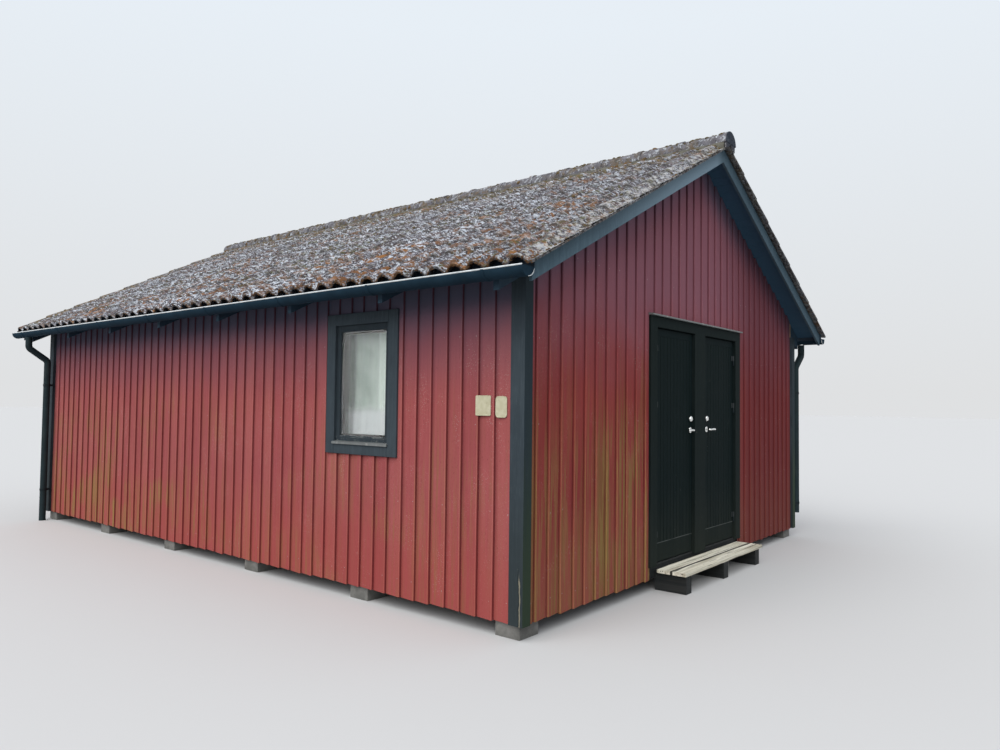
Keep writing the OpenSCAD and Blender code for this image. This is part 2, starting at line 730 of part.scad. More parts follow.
piers();
sill_beams();
floor_joists();
floor();
left_wall();
right_wall();
back_wall();
front_wall_left();
front_wall_right();
front_gable();
corner_boards();
rafters_left();
rafters_right();
ceiling_ties();
roof_deck_left();
roof_deck_right();
roof_tiles_left();
roof_tiles_right();
ridge_tiles();
front_bargeboards();
back_bargeboards();
gutter_left();
gutter_right();
gutter_brackets();
downpipes();
swan_necks();
pipe_clips();
door_posts();
door_head();
door_threshold();
drip_strip();
left_door();
right_door();
left_lever();
right_lever();
left_door_fittings();
right_door_fittings();
hinge_pins();
step_planks();
step_supports();
window_casings();
window_frames();
window_glass();
window_sills();
curtain();
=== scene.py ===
import random
from math import ceil, cos, floor, pi, radians, sin, sqrt, tan

import bpy
import numpy as np
from mathutils import Matrix, Vector


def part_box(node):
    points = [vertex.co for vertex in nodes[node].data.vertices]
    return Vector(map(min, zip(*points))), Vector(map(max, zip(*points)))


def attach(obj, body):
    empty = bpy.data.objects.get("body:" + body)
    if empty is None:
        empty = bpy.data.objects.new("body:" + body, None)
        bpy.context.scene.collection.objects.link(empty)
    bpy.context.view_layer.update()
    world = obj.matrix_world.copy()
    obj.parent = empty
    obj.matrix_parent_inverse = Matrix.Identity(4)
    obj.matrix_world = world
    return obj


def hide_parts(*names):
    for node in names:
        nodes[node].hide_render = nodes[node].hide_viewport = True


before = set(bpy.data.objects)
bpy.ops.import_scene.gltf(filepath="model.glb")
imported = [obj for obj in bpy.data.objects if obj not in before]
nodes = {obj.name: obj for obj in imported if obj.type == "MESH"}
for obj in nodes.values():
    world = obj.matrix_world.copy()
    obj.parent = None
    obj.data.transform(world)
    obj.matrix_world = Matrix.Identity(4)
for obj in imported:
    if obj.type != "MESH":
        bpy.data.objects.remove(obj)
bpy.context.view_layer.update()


def scene_object(name, data):
    ob = bpy.data.objects.new(name, data)
    bpy.context.scene.collection.objects.link(ob)
    return ob


# ---- camera, as solved from the photo
cam_data = bpy.data.cameras.new("camera")
cam_data.lens = 27.04  # 751 px for a picture 1000 px wide
cam_data.sensor_width = 36.0
cam_data.sensor_fit = "HORIZONTAL"
cam_data.clip_end = 300.0
cam = scene_object("camera", cam_data)
bpy.context.scene.camera = cam
fwd = Vector((0.77625, 0.62924, 0.03864)).normalized()
right = Vector((0.62932, -0.77706, 0.0114))
right = (right - fwd * right.dot(fwd)).normalized()
up = right.cross(fwd).normalized()
rot = Matrix((right, up, -fwd)).transposed()
cam.matrix_world = Matrix.Translation((-6.4694, -6.693, 1.511)) @ rot.to_4x4()

# ---- sizes from the CAD, in metres
H = 2.614  # outer faces of the long walls
Y_F, Y_B = -3.765, 3.765  # outer faces of the gable walls
TRIM = 0.036  # how far corner boards and casings stand out
PIER = 0.1  # where the walls begin, over the ground
PITCH = radians(27)
TANP, COSP, SINP = tan(PITCH), cos(PITCH), sin(PITCH)
RAF_TOP0, DECK_TOP0 = 3.82, 3.8447  # tops of rafters and roof boards under the ridge
TILE_U = 2.938  # the tiles' foot, from the middle of the house
VERGE_Y, ROOF_L = -4.073, 8.146  # the tiles' front end, and their length along the house
LIP = 0.033  # plain strip beside the outermost rolls
ROLLS, ROLL_H, TILE_T = 48, 0.048, 0.013
ROLL_P = (ROOF_L - 2 * LIP) / ROLLS
RIDGE_Z, RIDGE_R = 3.867, 0.1045
RIDGE_FOOT = 0.112  # where the ridge tiles' foot stands, from the middle
EAVE_U = 2.8793  # the strip behind the gutter
GUTTER_U, GUTTER_Z, GUTTER_R = 2.9445, 2.331, 0.061
LEAF_X0, LEAF_X1 = 0.12, 0.818
LEAF_Y0, LEAF_Y1 = -3.776, -3.734
LEAF_Z0, LEAF_Z1 = 0.223, 2.157
GROOVES = 10
PANEL_X0, PANEL_X1 = LEAF_X0 + 0.05, LEAF_X1 - 0.03
GROOVE_P = (PANEL_X1 - PANEL_X0) / GROOVES
LEVER_X, LEVER_Z = 0.172, 1.298
WIN_Y, WIN_Z = -2.209, 1.658  # middle of the windows
CAS_W, CAS_H = 0.41, 0.55  # half the casing's width and height
STEP_GAP_Y = -3.932  # the gap between the step's two planks
SIDES = ((-1, "left"), (1, "right"))
SLOPES = ((1, "left"), (-1, "right"))  # the roof's functions count the left slope as 1


def deck_top(u):
    return DECK_TOP0 - u * TANP


# ---- node helpers
def put(tree, sock, v):
    """Link a socket to another one, or give it a value."""
    v = v.socket if isinstance(v, Val) else v
    if isinstance(v, bpy.types.NodeSocket):
        tree.links.new(v, sock)
    elif sock.type == "RGBA" and len(v) == 3:
        sock.default_value = (*v, 1.0)
    else:
        sock.default_value = v


def new_node(tree, kind, ins=None, props=None):
    n = tree.nodes.new("ShaderNode" + kind)
    for k, v in (props or {}).items():
        setattr(n, k, v)
    for k, v in (ins or {}).items():
        put(tree, n.inputs[k], v)
    return n


class Val:
    """A number or a colour in a node tree, with the arithmetic that adds nodes to it."""

    def __init__(self, tree, socket):
        self.tree, self.socket = tree, socket

    def node(self, kind, ins, props=None, out=0):
        return Val(self.tree, new_node(self.tree, kind, ins, props).outputs[out])

    def math(self, op, other=0.0):
        return self.node("Math", {0: self, 1: other}, {"operation": op})

    def __add__(self, other):
        return self.math("ADD", other)

    def __sub__(self, other):
        return self.math("SUBTRACT", other)

    def __rsub__(self, other):
        return self.node("Math", {0: other, 1: self}, {"operation": "SUBTRACT"})

    def __mul__(self, other):
        return self.math("MULTIPLY", other)

    def __truediv__(self, other):
        return self.math("DIVIDE", other)

    def __abs__(self):
        return self.math("ABSOLUTE")

    def max(self, other):
        return self.math("MAXIMUM", other)

    def lin(self, a, b, c=0.0, d=1.0):
        """From c at a to d at b, in a straight line."""
        return self.node("MapRange", {0: self, 1: a, 2: b, 3: c, 4: d})

    def step(self, a, b, c=0.0, d=1.0):
        """From c at a to d at b, smoothly."""
        return self.node("MapRange", {0: self, 1: a, 2: b, 3: c, 4: d}, {"interpolation_type": "SMOOTHSTEP"})

    def near(self, centre, outer, inner):
        """1 within inner of the centre, 0 past outer."""
        return abs(self - centre).step(outer, inner)

    def mix(self, a, b):
        """Colour a where this is 0, b where it is 1."""
        return self.node("Mix", {0: self, 6: a, 7: b}, {"data_type": "RGBA"}, 2)


class Mat:
    """A material whose colour, col, is built up in layers."""

    def __init__(self, name):
        self.m = bpy.data.materials.new(name)
        self.m.use_nodes = True
        self.t = self.m.node_tree
        self.t.nodes.clear()
        self.p = new_node(self.t, "BsdfPrincipled")
        new_node(self.t, "OutputMaterial", {0: self.p.outputs[0]})
        self.co = Val(self.t, new_node(self.t, "TexCoord").outputs["Object"])
        self.x, self.y, self.z = [self.co.node("SeparateXYZ", {0: self.co}, out=i) for i in range(3)]

    def noise(self, scale, detail=3.0, rough=0.5, dist=0.0, vec=None):
        return self.co.node("TexNoise", {"Vector": vec or self.co, "Scale": scale, "Detail": detail,
                                         "Roughness": rough, "Distortion": dist})

    def streaks(self, stretch, detail=3.0, rough=0.5, dist=0.0):
        """Noise with a scale of its own along each axis."""
        return self.noise(1.0, detail, rough, dist, self.co.node("Mapping", {0: self.co, "Scale": stretch}))

    def blotches(self, scale, a, b, turn=None):
        """Irregular patches; a turn keeps two layers of them apart."""
        vec = turn and self.co.node("Mapping", {0: self.co, "Rotation": turn})
        return self.noise(scale, 4.0, 0.72, 0.4, vec).step(a, b)

    def dots(self, scale, outer, inner):
        return self.co.node("TexVoronoi", {"Vector": self.co, "Scale": scale}).step(outer, inner)

    def attr(self, name):
        return self.co.node("Attribute", None, {"attribute_name": name}, "Fac")

    def over(self, colour, *shares):
        """Lay a colour over the present one, by the product of the shares."""
        share = shares[0]
        for s in shares[1:]:
            share = share * s
        self.col = share.mix(self.col, colour)

    def done(self, rough, spec, height, dist, **more):
        bump = new_node(self.t, "Bump", {"Strength": 1.0, "Distance": dist, "Height": height})
        inputs = {"Base Color": self.col, "Roughness": rough, "Specular IOR Level": spec,
                  "Normal": bump.outputs[0], **more}
        for name, v in inputs.items():
            put(self.t, self.p.inputs[name], v)
        return self.m


def dim(colour, k):
    return tuple(v * k for v in colour)


# ---- materials
def red_paint():
    m = Mat("red_paint")
    rnd, alg, deep, tone = [m.attr(a) for a in ("rnd", "alg", "deep", "tone")]
    gable = abs(m.x).step(2.613, 2.6)
    side = 1.0 - gable
    fine = m.streaks((55, 55, 2.2), 5, 0.6)
    patch = m.noise(1.6, 4, 0.6).step(0.3, 0.7)
    m.col = gable.mix(patch.mix((0.328, 0.075, 0.085), (0.388, 0.094, 0.099)),
                      patch.mix((0.312, 0.052, 0.05), (0.372, 0.068, 0.062)))
    m.over((0.255, 0.052, 0.052), fine.lin(0.3, 0.75, 0.0, 0.5))
    m.over(gable.mix((0.44, 0.135, 0.125), (0.205, 0.03, 0.03)), rnd.lin(0, 1, 0.0, 0.42))
    # small dark specks of dirt, and pale flecks in clusters
    m.over((0.15, 0.038, 0.036), m.streaks((90, 90, 45), 3, 0.7).step(0.6, 0.68), 0.5)
    m.over((0.52, 0.4, 0.36), m.dots(70.0, 0.24, 0.16), m.noise(3.2).step(0.56, 0.66), 0.7)
    m.over((0.56, 0.44, 0.4), m.dots(85.0, 0.155, 0.1), (m.noise(1.7, 2) + m.z * -0.05).step(0.38, 0.52), 0.6)
    # painted highlight on the thick edges, and painted shade on the thin side beside each step
    thick = tone.max(0.0)
    m.over((0.5, 0.175, 0.15), thick, side.lin(0, 1, 0.15, 0.42))
    m.over((0.15, 0.032, 0.034), (tone * -1.0).max(0.0), side.lin(0, 1, 0.3, 0.62))
    # splashes low down, and green and ochre algae in streaks down the boards, in patches on the long walls
    ragged = m.streaks((9, 9, 1.2)).lin(0, 1, -0.35, 0.35)
    height = m.z + ragged
    m.over(gable.mix((0.378, 0.062, 0.05), (0.345, 0.14, 0.085)), height.step(1.0, 0.15), 0.4)
    alg = alg * gable.max(m.noise(1.5, 2).step(0.44, 0.58) * 0.85 + 0.15)
    m.over((0.215, 0.13, 0.045), m.streaks((30, 30, 0.9), 4, 0.65).step(0.46, 0.66),
           (m.z + ragged * 1.6).step(2.5, 0.35), alg * 0.9 + 0.1)
    reach = height.step(1.7, 0.9)
    m.over((0.285, 0.19, 0.066), m.streaks((24, 24, 1.1), 4, 0.7, 0.2).step(0.49, 0.58), reach, alg * 0.85)
    m.over((0.46, 0.29, 0.105), thick, alg, reach, 0.42)
    # grey dust under the eaves and high in the gable, where no rain washes it off, with painted shade under the
    # eaves and rakes and a painted sky reflection high in the gable
    cloud = m.noise(3.0).lin(0, 1, -0.07, 0.07)
    height = m.z + cloud
    # grey-violet under the eaves: partly dust, partly painted shade
    m.over((0.165, 0.088, 0.12), height.step(1.45, 2.1, 0.0, 0.6), side)
    # painted shade of the eaves: navy towards the wall's top
    m.over((0.078, 0.094, 0.142), height.step(1.92, 2.22, 0.0, 0.6) + m.z.step(2.1, 2.28, 0.0, 0.3), side)
    # violet high in the gable: partly dust, partly painted sky reflection
    m.over((0.258, 0.153, 0.212), (m.z + cloud * 3.0).step(1.5, 2.6), gable, 0.57)
    # painted shade under the rakes
    rake = m.z + abs(m.x) * TANP
    m.over((0.12, 0.12, 0.18),
           (rake + cloud * 0.6).step(3.38, 3.72, 0.0, 0.5) + rake.step(3.58, 3.76, 0.0, 0.3), gable)
    # painted shade darkens the right end of the gable, the grooves, and on the long walls the steps' faces
    m.over((0.105, 0.02, 0.027), gable, m.x.step(0.3, 1.5), 0.6)
    m.over((0.15, 0.02, 0.026), deep.step(0.1, 0.55), side, 0.55)
    m.over((0.11, 0.018, 0.022), deep.step(0.62, 0.98), gable, 0.62)
    relief = fine * 0.5 + (m.streaks((220, 220, 6), 3, 0.6) * 0.35 + m.noise(120.0, 2) * 0.25)
    return m.done(fine.lin(0.2, 0.8, 0.7, 0.9), 0.1, relief, 0.002)


def dark_paint(name, base, lit, spec=0.08, chips=0.3, extra=None):
    m = Mat(name)
    fine = m.streaks((70, 70, 2.6), 5, 0.6)
    blot = m.noise(2.2, 4, 0.6)
    m.col = blot.step(0.3, 0.7).mix(base, lit)
    m.over(dim(base, 0.55), fine.lin(0.35, 0.8, 0.0, 0.45))
    m.over(tuple(v * 1.9 + 0.01 for v in lit), m.streaks((160, 160, 9), 3, 0.65).step(0.56, 0.72), 0.3)
    dust = (m.z + m.streaks((14, 14, 1.4)).lin(0, 1, -0.3, 0.3)).step(0.9, 0.1)
    m.over((0.08, 0.082, 0.06), dust, 0.15)
    m.over((0.36, 0.34, 0.29), m.noise(38.0, 3, 0.6).step(0.7, 0.76), m.noise(3.0).step(0.52, 0.64), chips)
    if extra:
        extra(m)
    return m.done(blot.lin(0.2, 0.8, 0.54, 0.74), spec, fine * 0.6 + m.noise(140.0, 2) * 0.3, 0.0012)


def corner_crack(m):
    # the near corner board has split low down on the long wall's side, beside its edge
    off = m.y - ((m.noise(11.0, 2) - 0.5) * 0.024 - 3.776)
    width = m.z.step(0.47, 0.36) * m.noise(30.0, 2).lin(0.3, 0.7, 0.0028, 0.0075)
    here = m.x.step(-2.648, -2.6495) * m.y.step(-3.7, -3.74)
    m.over((0.5, 0.45, 0.33), (width - abs(off)).step(0.0, 0.0015), here)
    m.over((0.008, 0.01, 0.01), off.near(0.009, 0.0035, 0.001), m.z.step(0.5, 0.42), here, 0.8)
    m.over((0.022, 0.03, 0.032), m.z.step(1.3, 0.5, 0.0, 0.55))
    # painted shade darkens the gable's side of the corner, which is green with algae towards the ground
    end = abs(m.y).step(3.7995, 3.8005)
    m.over((0.015, 0.027, 0.034), end, 0.72)
    ragged = m.streaks((22, 22, 2)).lin(0, 1, -0.4, 0.4)
    m.over((0.04, 0.062, 0.028), (m.z + ragged).step(1.5, 0.3), end, 0.6)


def rake_painted_light(m):
    # painted sky reflection lightens the left rake's board towards the ridge
    m.over((0.25, 0.35, 0.43), m.z.step(2.45, 3.5), m.x.step(0.0, -0.15), 0.8)
    # painted shade darkens the right rake's board
    m.over((0.04, 0.07, 0.095), m.x.step(0.0, 0.15, 0.0, 0.35))


def sash_wear(m):
    # brown stain inside, and droppings and pale lines along the bottom rail outside
    m.over((0.036, 0.03, 0.024), abs(m.x).step(2.606, 2.6), 0.9)
    rail = m.z.step(1.262, 1.252) * m.z.step(1.196, 1.202)
    m.over((0.42, 0.42, 0.38), m.streaks((90, 70, 120), 3, 0.7).step(0.6, 0.66), rail, 0.55)
    bend = m.z + m.noise(5.0, 2).lin(0, 1, -0.006, 0.006)
    lines = bend.near(1.2475, 0.0024, 0.0006).max(bend.near(1.239, 0.002, 0.0005))
    m.over((0.36, 0.38, 0.36), lines, m.noise(14.0).step(0.46, 0.58), 0.6)


def door_wear_and_shading(m):
    # painted shade in the grooves with a painted highlight beside them, rubbed places at hand height, and a
    # painted highlight along the bottom rail's bevel
    share = ((abs(m.x) - (PANEL_X0 - GROOVE_P / 2)) / GROOVE_P).math("FRACT")
    off = abs(share - 0.5) * GROOVE_P
    panel = m.z.step(0.378, 0.384) * m.z.step(2.097, 2.091)
    m.over((0.018, 0.03, 0.026), panel, off.step(0.0085, 0.0045, 0.0, 0.55))
    m.over((0.001, 0.003, 0.003), panel, off.step(0.0042, 0.0026))
    rubbed = m.z.near(1.25, 0.75, 0.15) * m.noise(2.6).step(0.48, 0.62)
    m.over((0.115, 0.125, 0.12), m.streaks((34, 34, 120), 3, 0.7).step(0.66, 0.72), rubbed, 0.65)
    m.over((0.15, 0.16, 0.155), m.z.near(0.3765, 0.0034, 0.0012), m.noise(9.0, 2).step(0.3, 0.46), 0.55)


def wood(name, a, b, axis="y", rough=0.75, boards=0.0, out_dark=None, cracks=0.0):
    """Bare wood with grain along one axis; boards draws a joint every so many metres across it."""
    m = Mat(name)

    def grain(across, along, *rest):
        return m.streaks([along if ax == axis else across for ax in "xyz"], *rest)
    ring = grain(26, 0.9, 4, 0.6, 0.6)
    fine = grain(160, 4, 3, 0.6)
    m.col = ring.step(0.35, 0.65).mix(a, b)
    m.over(dim(a, 0.55), fine.lin(0.4, 0.8, 0.0, 0.35))
    m.over(dim(a, 0.35), m.dots(2.3, 0.055, 0.025), 0.7)
    relief = fine * 0.5 + ring * 0.5
    if cracks:
        split = grain(57.2, 1.44, 3, 0.7).step(0.57, 0.63)
        m.over((0.055, 0.05, 0.04), split, cracks)
        relief = relief - split * 1.6
        # painted shade of the gap between the two planks, on both its sides
        plank_gap_shade = abs(m.y - STEP_GAP_Y + ring.lin(0, 1, -0.003, 0.003)).step(0.013, 0.008)
        m.over((0.02, 0.018, 0.014), plank_gap_shade, 0.92)
    if boards:
        count = (m.x + m.y if axis == "z" else m.x) / boards
        edge = count.math("FRACT").near(0.5, 0.48, 0.495)
        cell = count.node("TexWhiteNoise", {"W": count.math("FLOOR")}, {"noise_dimensions": "1D"})
        m.over(dim(b, 0.6), cell.lin(0, 1, 0.0, 0.3))
        m.over(dim(a, 0.15), edge, 0.85)
        relief = relief - edge * 2.0
    if out_dark:
        m.over(out_dark, abs(m.x).step(2.612, 2.616).max(abs(m.y).step(3.764, 3.768)))
    return m.done(ring.lin(0.2, 0.8, rough - 0.08, rough + 0.1), 0.3, relief, 0.0012)


def tile_concrete():
    m = Mat("tile_concrete")
    low = m.attr("low")
    mid = m.noise(6.0, 4, 0.65)
    m.col = mid.step(0.3, 0.7).mix((0.102, 0.096, 0.114), (0.186, 0.178, 0.208))
    m.over((0.08, 0.072, 0.08), m.attr("rnd").lin(0, 1, 0.0, 0.3))
    m.over((0.052, 0.042, 0.044), m.streaks((3.2, 34.0, 3.2), 4, 0.65).step(0.42, 0.58, 0.0, 0.85))
    # black algae, and grey and white lichen in spots of 10 to 40 mm
    m.over((0.022, 0.02, 0.021), m.blotches(33.0, 0.53, 0.57), 0.88)
    zone = m.noise(1.9).step(0.36, 0.58, 0.55, 1.0) * m.y.step(-3.9, -2.2, 0.72, 1.0)
    m.over((0.5, 0.55, 0.62), m.blotches(22.0, 0.535, 0.565, (0.4, 0.8, 0.3)), zone, 0.95)
    m.over((0.64, 0.69, 0.76), m.blotches(44.0, 0.55, 0.58, (1.1, 0.2, 0.9)), zone, 0.92)
    m.over((0.02, 0.019, 0.02), m.dots(48.0, 0.3, 0.2), 0.75)
    # rust-brown moss, most of it over the front half of the eaves
    eave = m.z.step(3.05, 2.42) * m.y.step(1.5, -3.2, 0.35, 1.0)
    rust = m.blotches(11.0, 0.49, 0.58) * (eave * 0.85 + m.noise(1.3).step(0.46, 0.6, 0.2, 0.85))
    m.over(m.noise(5.0).step(0.45, 0.6).mix((0.15, 0.072, 0.034), (0.255, 0.118, 0.042)), rust, 0.85)
    # ochre and olive moss under the ridge and along the far rake
    crest = (m.z + m.noise(1.9) * 0.9).step(3.95, 4.3)
    far = (m.y + m.noise(2.0) * 0.7).step(3.7, 4.25)
    m.over(m.noise(30.0).step(0.4, 0.6).mix((0.078, 0.066, 0.034), (0.19, 0.128, 0.058)),
           m.blotches(13.0, 0.47, 0.57), crest.max(far), 0.9)
    # pale lichen along the near rake's edge
    m.over((0.46, 0.46, 0.45), m.y.step(-3.9, -4.00), m.blotches(26.0, 0.5, 0.57) * 0.8)
    moss = m.blotches(19.0, 0.53, 0.62) * (m.noise(0.9) + low * 0.12).step(0.5, 0.66)
    m.over((0.095, 0.092, 0.04), moss, 0.8)
    # a worn nose, and shade where the next course lies over the tile
    m.over((0.36, 0.35, 0.33), low.step(0.9, 0.99, 0.0, 0.25))
    m.over((0.05, 0.048, 0.046), low.step(0.1, 0.0, 0.0, 0.55))
    return m.done(0.95, 0.12, m.noise(60.0, 4, 0.7) * 0.6 + (m.noise(220.0, 2) * 0.4 + mid * 1.2), 0.004)


def concrete(name, a, b, scale=9.0):
    m = Mat(name)
    big = m.noise(scale, 5, 0.65)
    pits = m.dots(scale * 9, 0.14, 0.06)
    m.col = big.step(0.3, 0.7).mix(a, b)
    m.over(dim(a, 0.35), pits, 0.6)
    m.over(dim(a, 0.5), (m.z + big * 0.05).step(0.1, 0.0), 0.5)
    return m.done(0.92, 0.5, m.noise(scale * 14, 3, 0.6) * 0.6 + pits * -0.8, 0.003)


def ridge_concrete():
    m = Mat("ridge_concrete")
    mid = m.noise(9.0, 4, 0.6)
    m.col = mid.step(0.3, 0.7).mix((0.11, 0.108, 0.124), (0.2, 0.196, 0.22))
    m.over((0.5, 0.54, 0.58), m.blotches(24.0, 0.54, 0.6), 0.8)
    m.over((0.03, 0.029, 0.028), m.blotches(31.0, 0.56, 0.62, (0.5, 0.9, 0.2)), 0.7)
    moss = m.blotches(11.0, 0.46, 0.54) * m.noise(1.4, 2).step(0.38, 0.6, 0.1, 0.85)
    m.over(m.noise(26.0).step(0.4, 0.6).mix((0.072, 0.06, 0.036), (0.165, 0.118, 0.066)), moss, 0.9)
    m.over((0.03, 0.042, 0.06), abs(m.y).step(4.086, 4.089), 0.85)
    return m.done(0.95, 0.12, m.noise(70.0, 4, 0.7) + mid * 1.2, 0.005)


def moss_growth():
    m = Mat("moss")
    fine = m.noise(150.0, 3, 0.7)
    m.col = m.attr("rnd").mix((0.064, 0.055, 0.032), (0.15, 0.112, 0.062))
    m.over((0.22, 0.178, 0.108), fine.step(0.45, 0.7))
    m.over((0.235, 0.118, 0.045), m.noise(2.0, 2).step(0.55, 0.66, 0.0, 0.55))
    m.over((0.14, 0.068, 0.036), m.z.step(2.6, 2.42, 0.0, 0.7))
    return m.done(0.95, 0.1, fine + m.noise(400.0, 2), 0.006)


def metal(name, base, rough, metallic=0.0, dirt=(0.1, 0.1, 0.09), spec=0.5):
    m = Mat(name)
    blot = m.noise(6.0, 4, 0.6)
    m.col = blot.step(0.35, 0.7, 0.0, 0.5).mix(base, dim(base, 1.7))
    m.over(dirt, m.streaks((20, 20, 3), 4, 0.6).step(0.58, 0.72, 0.0, 0.55))
    return m.done(blot.lin(0.2, 0.8, rough - 0.05, rough + 0.12), spec,
                  m.noise(90.0, 3, 0.6) * 0.4 + blot * 0.8, 0.0008, Metallic=metallic)


def chrome():
    m = Mat("polished_metal")
    fine = m.noise(300.0, 2)
    hinge = abs(m.x).step(0.62, 0.66)  # the hinges share the fittings' node, and are black
    m.col = m.noise(40.0).step(0.4, 0.7, 0.0, 0.3).mix((0.82, 0.82, 0.8), (0.55, 0.55, 0.53))
    m.over((0.01, 0.016, 0.018), hinge)
    return m.done(fine.lin(0.3, 0.7, 0.12, 0.24) + hinge * 0.3, 0.5, fine, 0.0002, Metallic=1.0 - hinge)


def glass():
    m = Mat("window_glass")
    m.col = (0.9, 0.96, 0.94)
    return m.done(m.noise(7.0).lin(0.3, 0.8, 0.0, 0.03), 0.5, m.noise(3.0, 1), 0.0006,
                  **{"Transmission Weight": 1.0, "Alpha": 0.25, "IOR": 1.5})


def curtain_cloth():
    m = Mat("curtain_cloth")
    weave = (m.y * 3200.0).math("SINE") * (m.z * 3200.0).math("SINE")
    m.col = m.noise(6.0).step(0.3, 0.7).mix((0.4, 0.49, 0.43), (0.54, 0.64, 0.57))
    # painted light on the window's near part, painted shade where the room shows beside it, and pale along the
    # hem
    m.over((0.84, 0.96, 0.87), m.y.step(-2.215, -2.262))
    m.over((0.03, 0.045, 0.034), m.y.step(-1.99, -1.925, 0.0, 0.96))
    hem = (m.z + m.noise(9.0).lin(0, 1, -0.03, 0.03)).step(1.5, 1.41, 0.0, 0.8)
    m.over((0.9, 0.93, 0.95), hem)
    return m.done(0.85, 0.5, weave + m.noise(90.0), 0.0004, **{"Sheen Weight": 0.3})


def enamel():
    m = Mat("enamel_plate")
    worn = m.noise(30.0)
    m.col = worn.step(0.35, 0.7).mix((0.52, 0.49, 0.33), (0.6, 0.57, 0.41))
    m.over((0.22, 0.1, 0.04), m.noise(90.0).step(0.66, 0.74, 0.0, 0.7))
    return m.done(0.35, 0.5, worn, 0.0006)


RED = red_paint()
TRIM_P = dark_paint("trim_paint", (0.041, 0.055, 0.067), (0.057, 0.075, 0.089), extra=corner_crack)
# the doorway's dark green paint, set darker by painted shade of the recess
POST_P = dark_paint("doorway_paint", (0.009, 0.015, 0.015), (0.014, 0.021, 0.021), 0.03)
SASH_P = dark_paint("sash_paint", (0.026, 0.036, 0.044), (0.038, 0.05, 0.06), extra=sash_wear)
# the bargeboards' dark paint, set lighter and bluer than the trim's by a painted sky reflection
BARGE_P = dark_paint("barge_paint", (0.078, 0.128, 0.165), (0.11, 0.172, 0.215), extra=rake_painted_light)
# the leaves' dark green paint, set darker by painted shade of the recessed doorway
DOOR_P = dark_paint("door_paint", (0.005, 0.011, 0.012), (0.008, 0.015, 0.016), 0.03, 0.5, door_wear_and_shading)
EAVE_P = dark_paint("eave_paint", (0.04, 0.058, 0.082), (0.06, 0.082, 0.11), chips=0.1)
PINE = wood("inside_pine", (0.42, 0.27, 0.14), (0.58, 0.4, 0.23), "z", boards=0.12)
BEAM = wood("beam_wood", (0.38, 0.25, 0.14), (0.52, 0.37, 0.22), out_dark=(0.022, 0.05, 0.08))
# the deck's outside is painted dark, made brighter and blue by painted sky light on the soffit
DECKW = wood("deck_wood", (0.38, 0.25, 0.14), (0.52, 0.37, 0.22), boards=0.095, out_dark=(0.038, 0.098, 0.165))
FLOORW = wood("floor_wood", (0.33, 0.22, 0.13), (0.47, 0.34, 0.21), boards=0.12)
SILLW = wood("sill_wood", (0.014, 0.017, 0.018), (0.03, 0.032, 0.032))
STEPW = wood("step_wood", (0.58, 0.54, 0.42), (1.0, 0.97, 0.83), "x", 0.85, cracks=0.85)
TILE = tile_concrete()
RIDGE = ridge_concrete()
MOSS = moss_growth()
PIERM = concrete("pier_concrete", (0.15, 0.15, 0.14), (0.25, 0.245, 0.23))
BED = concrete("bedding_mortar", (0.085, 0.082, 0.07), (0.155, 0.15, 0.12), 14.0)
# the gutters' dark navy paint, set darker by painted shade under the eaves
GUTTER = metal("gutter_metal", (0.014, 0.032, 0.05), 0.75, spec=0.04, dirt=(0.022, 0.04, 0.05))
PIPE = metal("pipe_metal", (0.016, 0.027, 0.031), 0.6, spec=0.1, dirt=(0.04, 0.05, 0.048))
# pale as the sky's reflection on a glossy lip: a painted highlight
LIP_GLINT = metal("gutter_lip_glint", (0.62, 0.66, 0.68), 0.3, dirt=(0.35, 0.38, 0.4))
IRON = metal("black_iron", (0.012, 0.018, 0.021), 0.6, spec=0.1, dirt=(0.04, 0.045, 0.045))
SILLM = metal("sill_metal", (0.13, 0.14, 0.14), 0.4, dirt=(0.42, 0.42, 0.4))
NAIL = metal("nail_zinc", (0.42, 0.38, 0.36), 0.5, 0.5)
CHROME = chrome()
GLASS = glass()
CLOTH = curtain_cloth()
PLATE = enamel()

FINISH = (
    (PINE, "left_wall right_wall back_wall front_wall_left front_wall_right front_gable"),
    (BEAM, "floor_joists rafters_left rafters_right ceiling_ties"),
    (DECKW, "roof_deck_left roof_deck_right"), (FLOORW, "floor"), (STEPW, "step_planks"),
    (SILLW, "sill_beams door_threshold step_supports"), (PIERM, "piers"),
    (TRIM_P, "corner_boards window_casings"), (BARGE_P, "front_bargeboards back_bargeboards"),
    (POST_P, "door_posts door_head"), (DOOR_P, "left_door right_door"), (SASH_P, "window_frames"),
    (TILE, "roof_tiles_left roof_tiles_right"), (RIDGE, "ridge_tiles"),
    (GUTTER, "gutter_left gutter_right gutter_brackets"), (PIPE, "downpipes swan_necks"),
    (IRON, "pipe_clips hinge_pins"), (SILLM, "drip_strip window_sills"),
    (CHROME, "left_lever right_lever left_door_fittings right_door_fittings"),
    (GLASS, "window_glass"), (CLOTH, "curtain"))
for mat, names in FINISH:
    for name in names.split():
        ob = nodes[name]
        if not ob.material_slots:
            ob.data.materials.append(mat)
        for s in ob.material_slots:
            s.material = mat


# ---- mesh helpers
def turn(n):
    """The angles of n points round a circle."""
    return [2 * pi * i / n for i in range(n)]


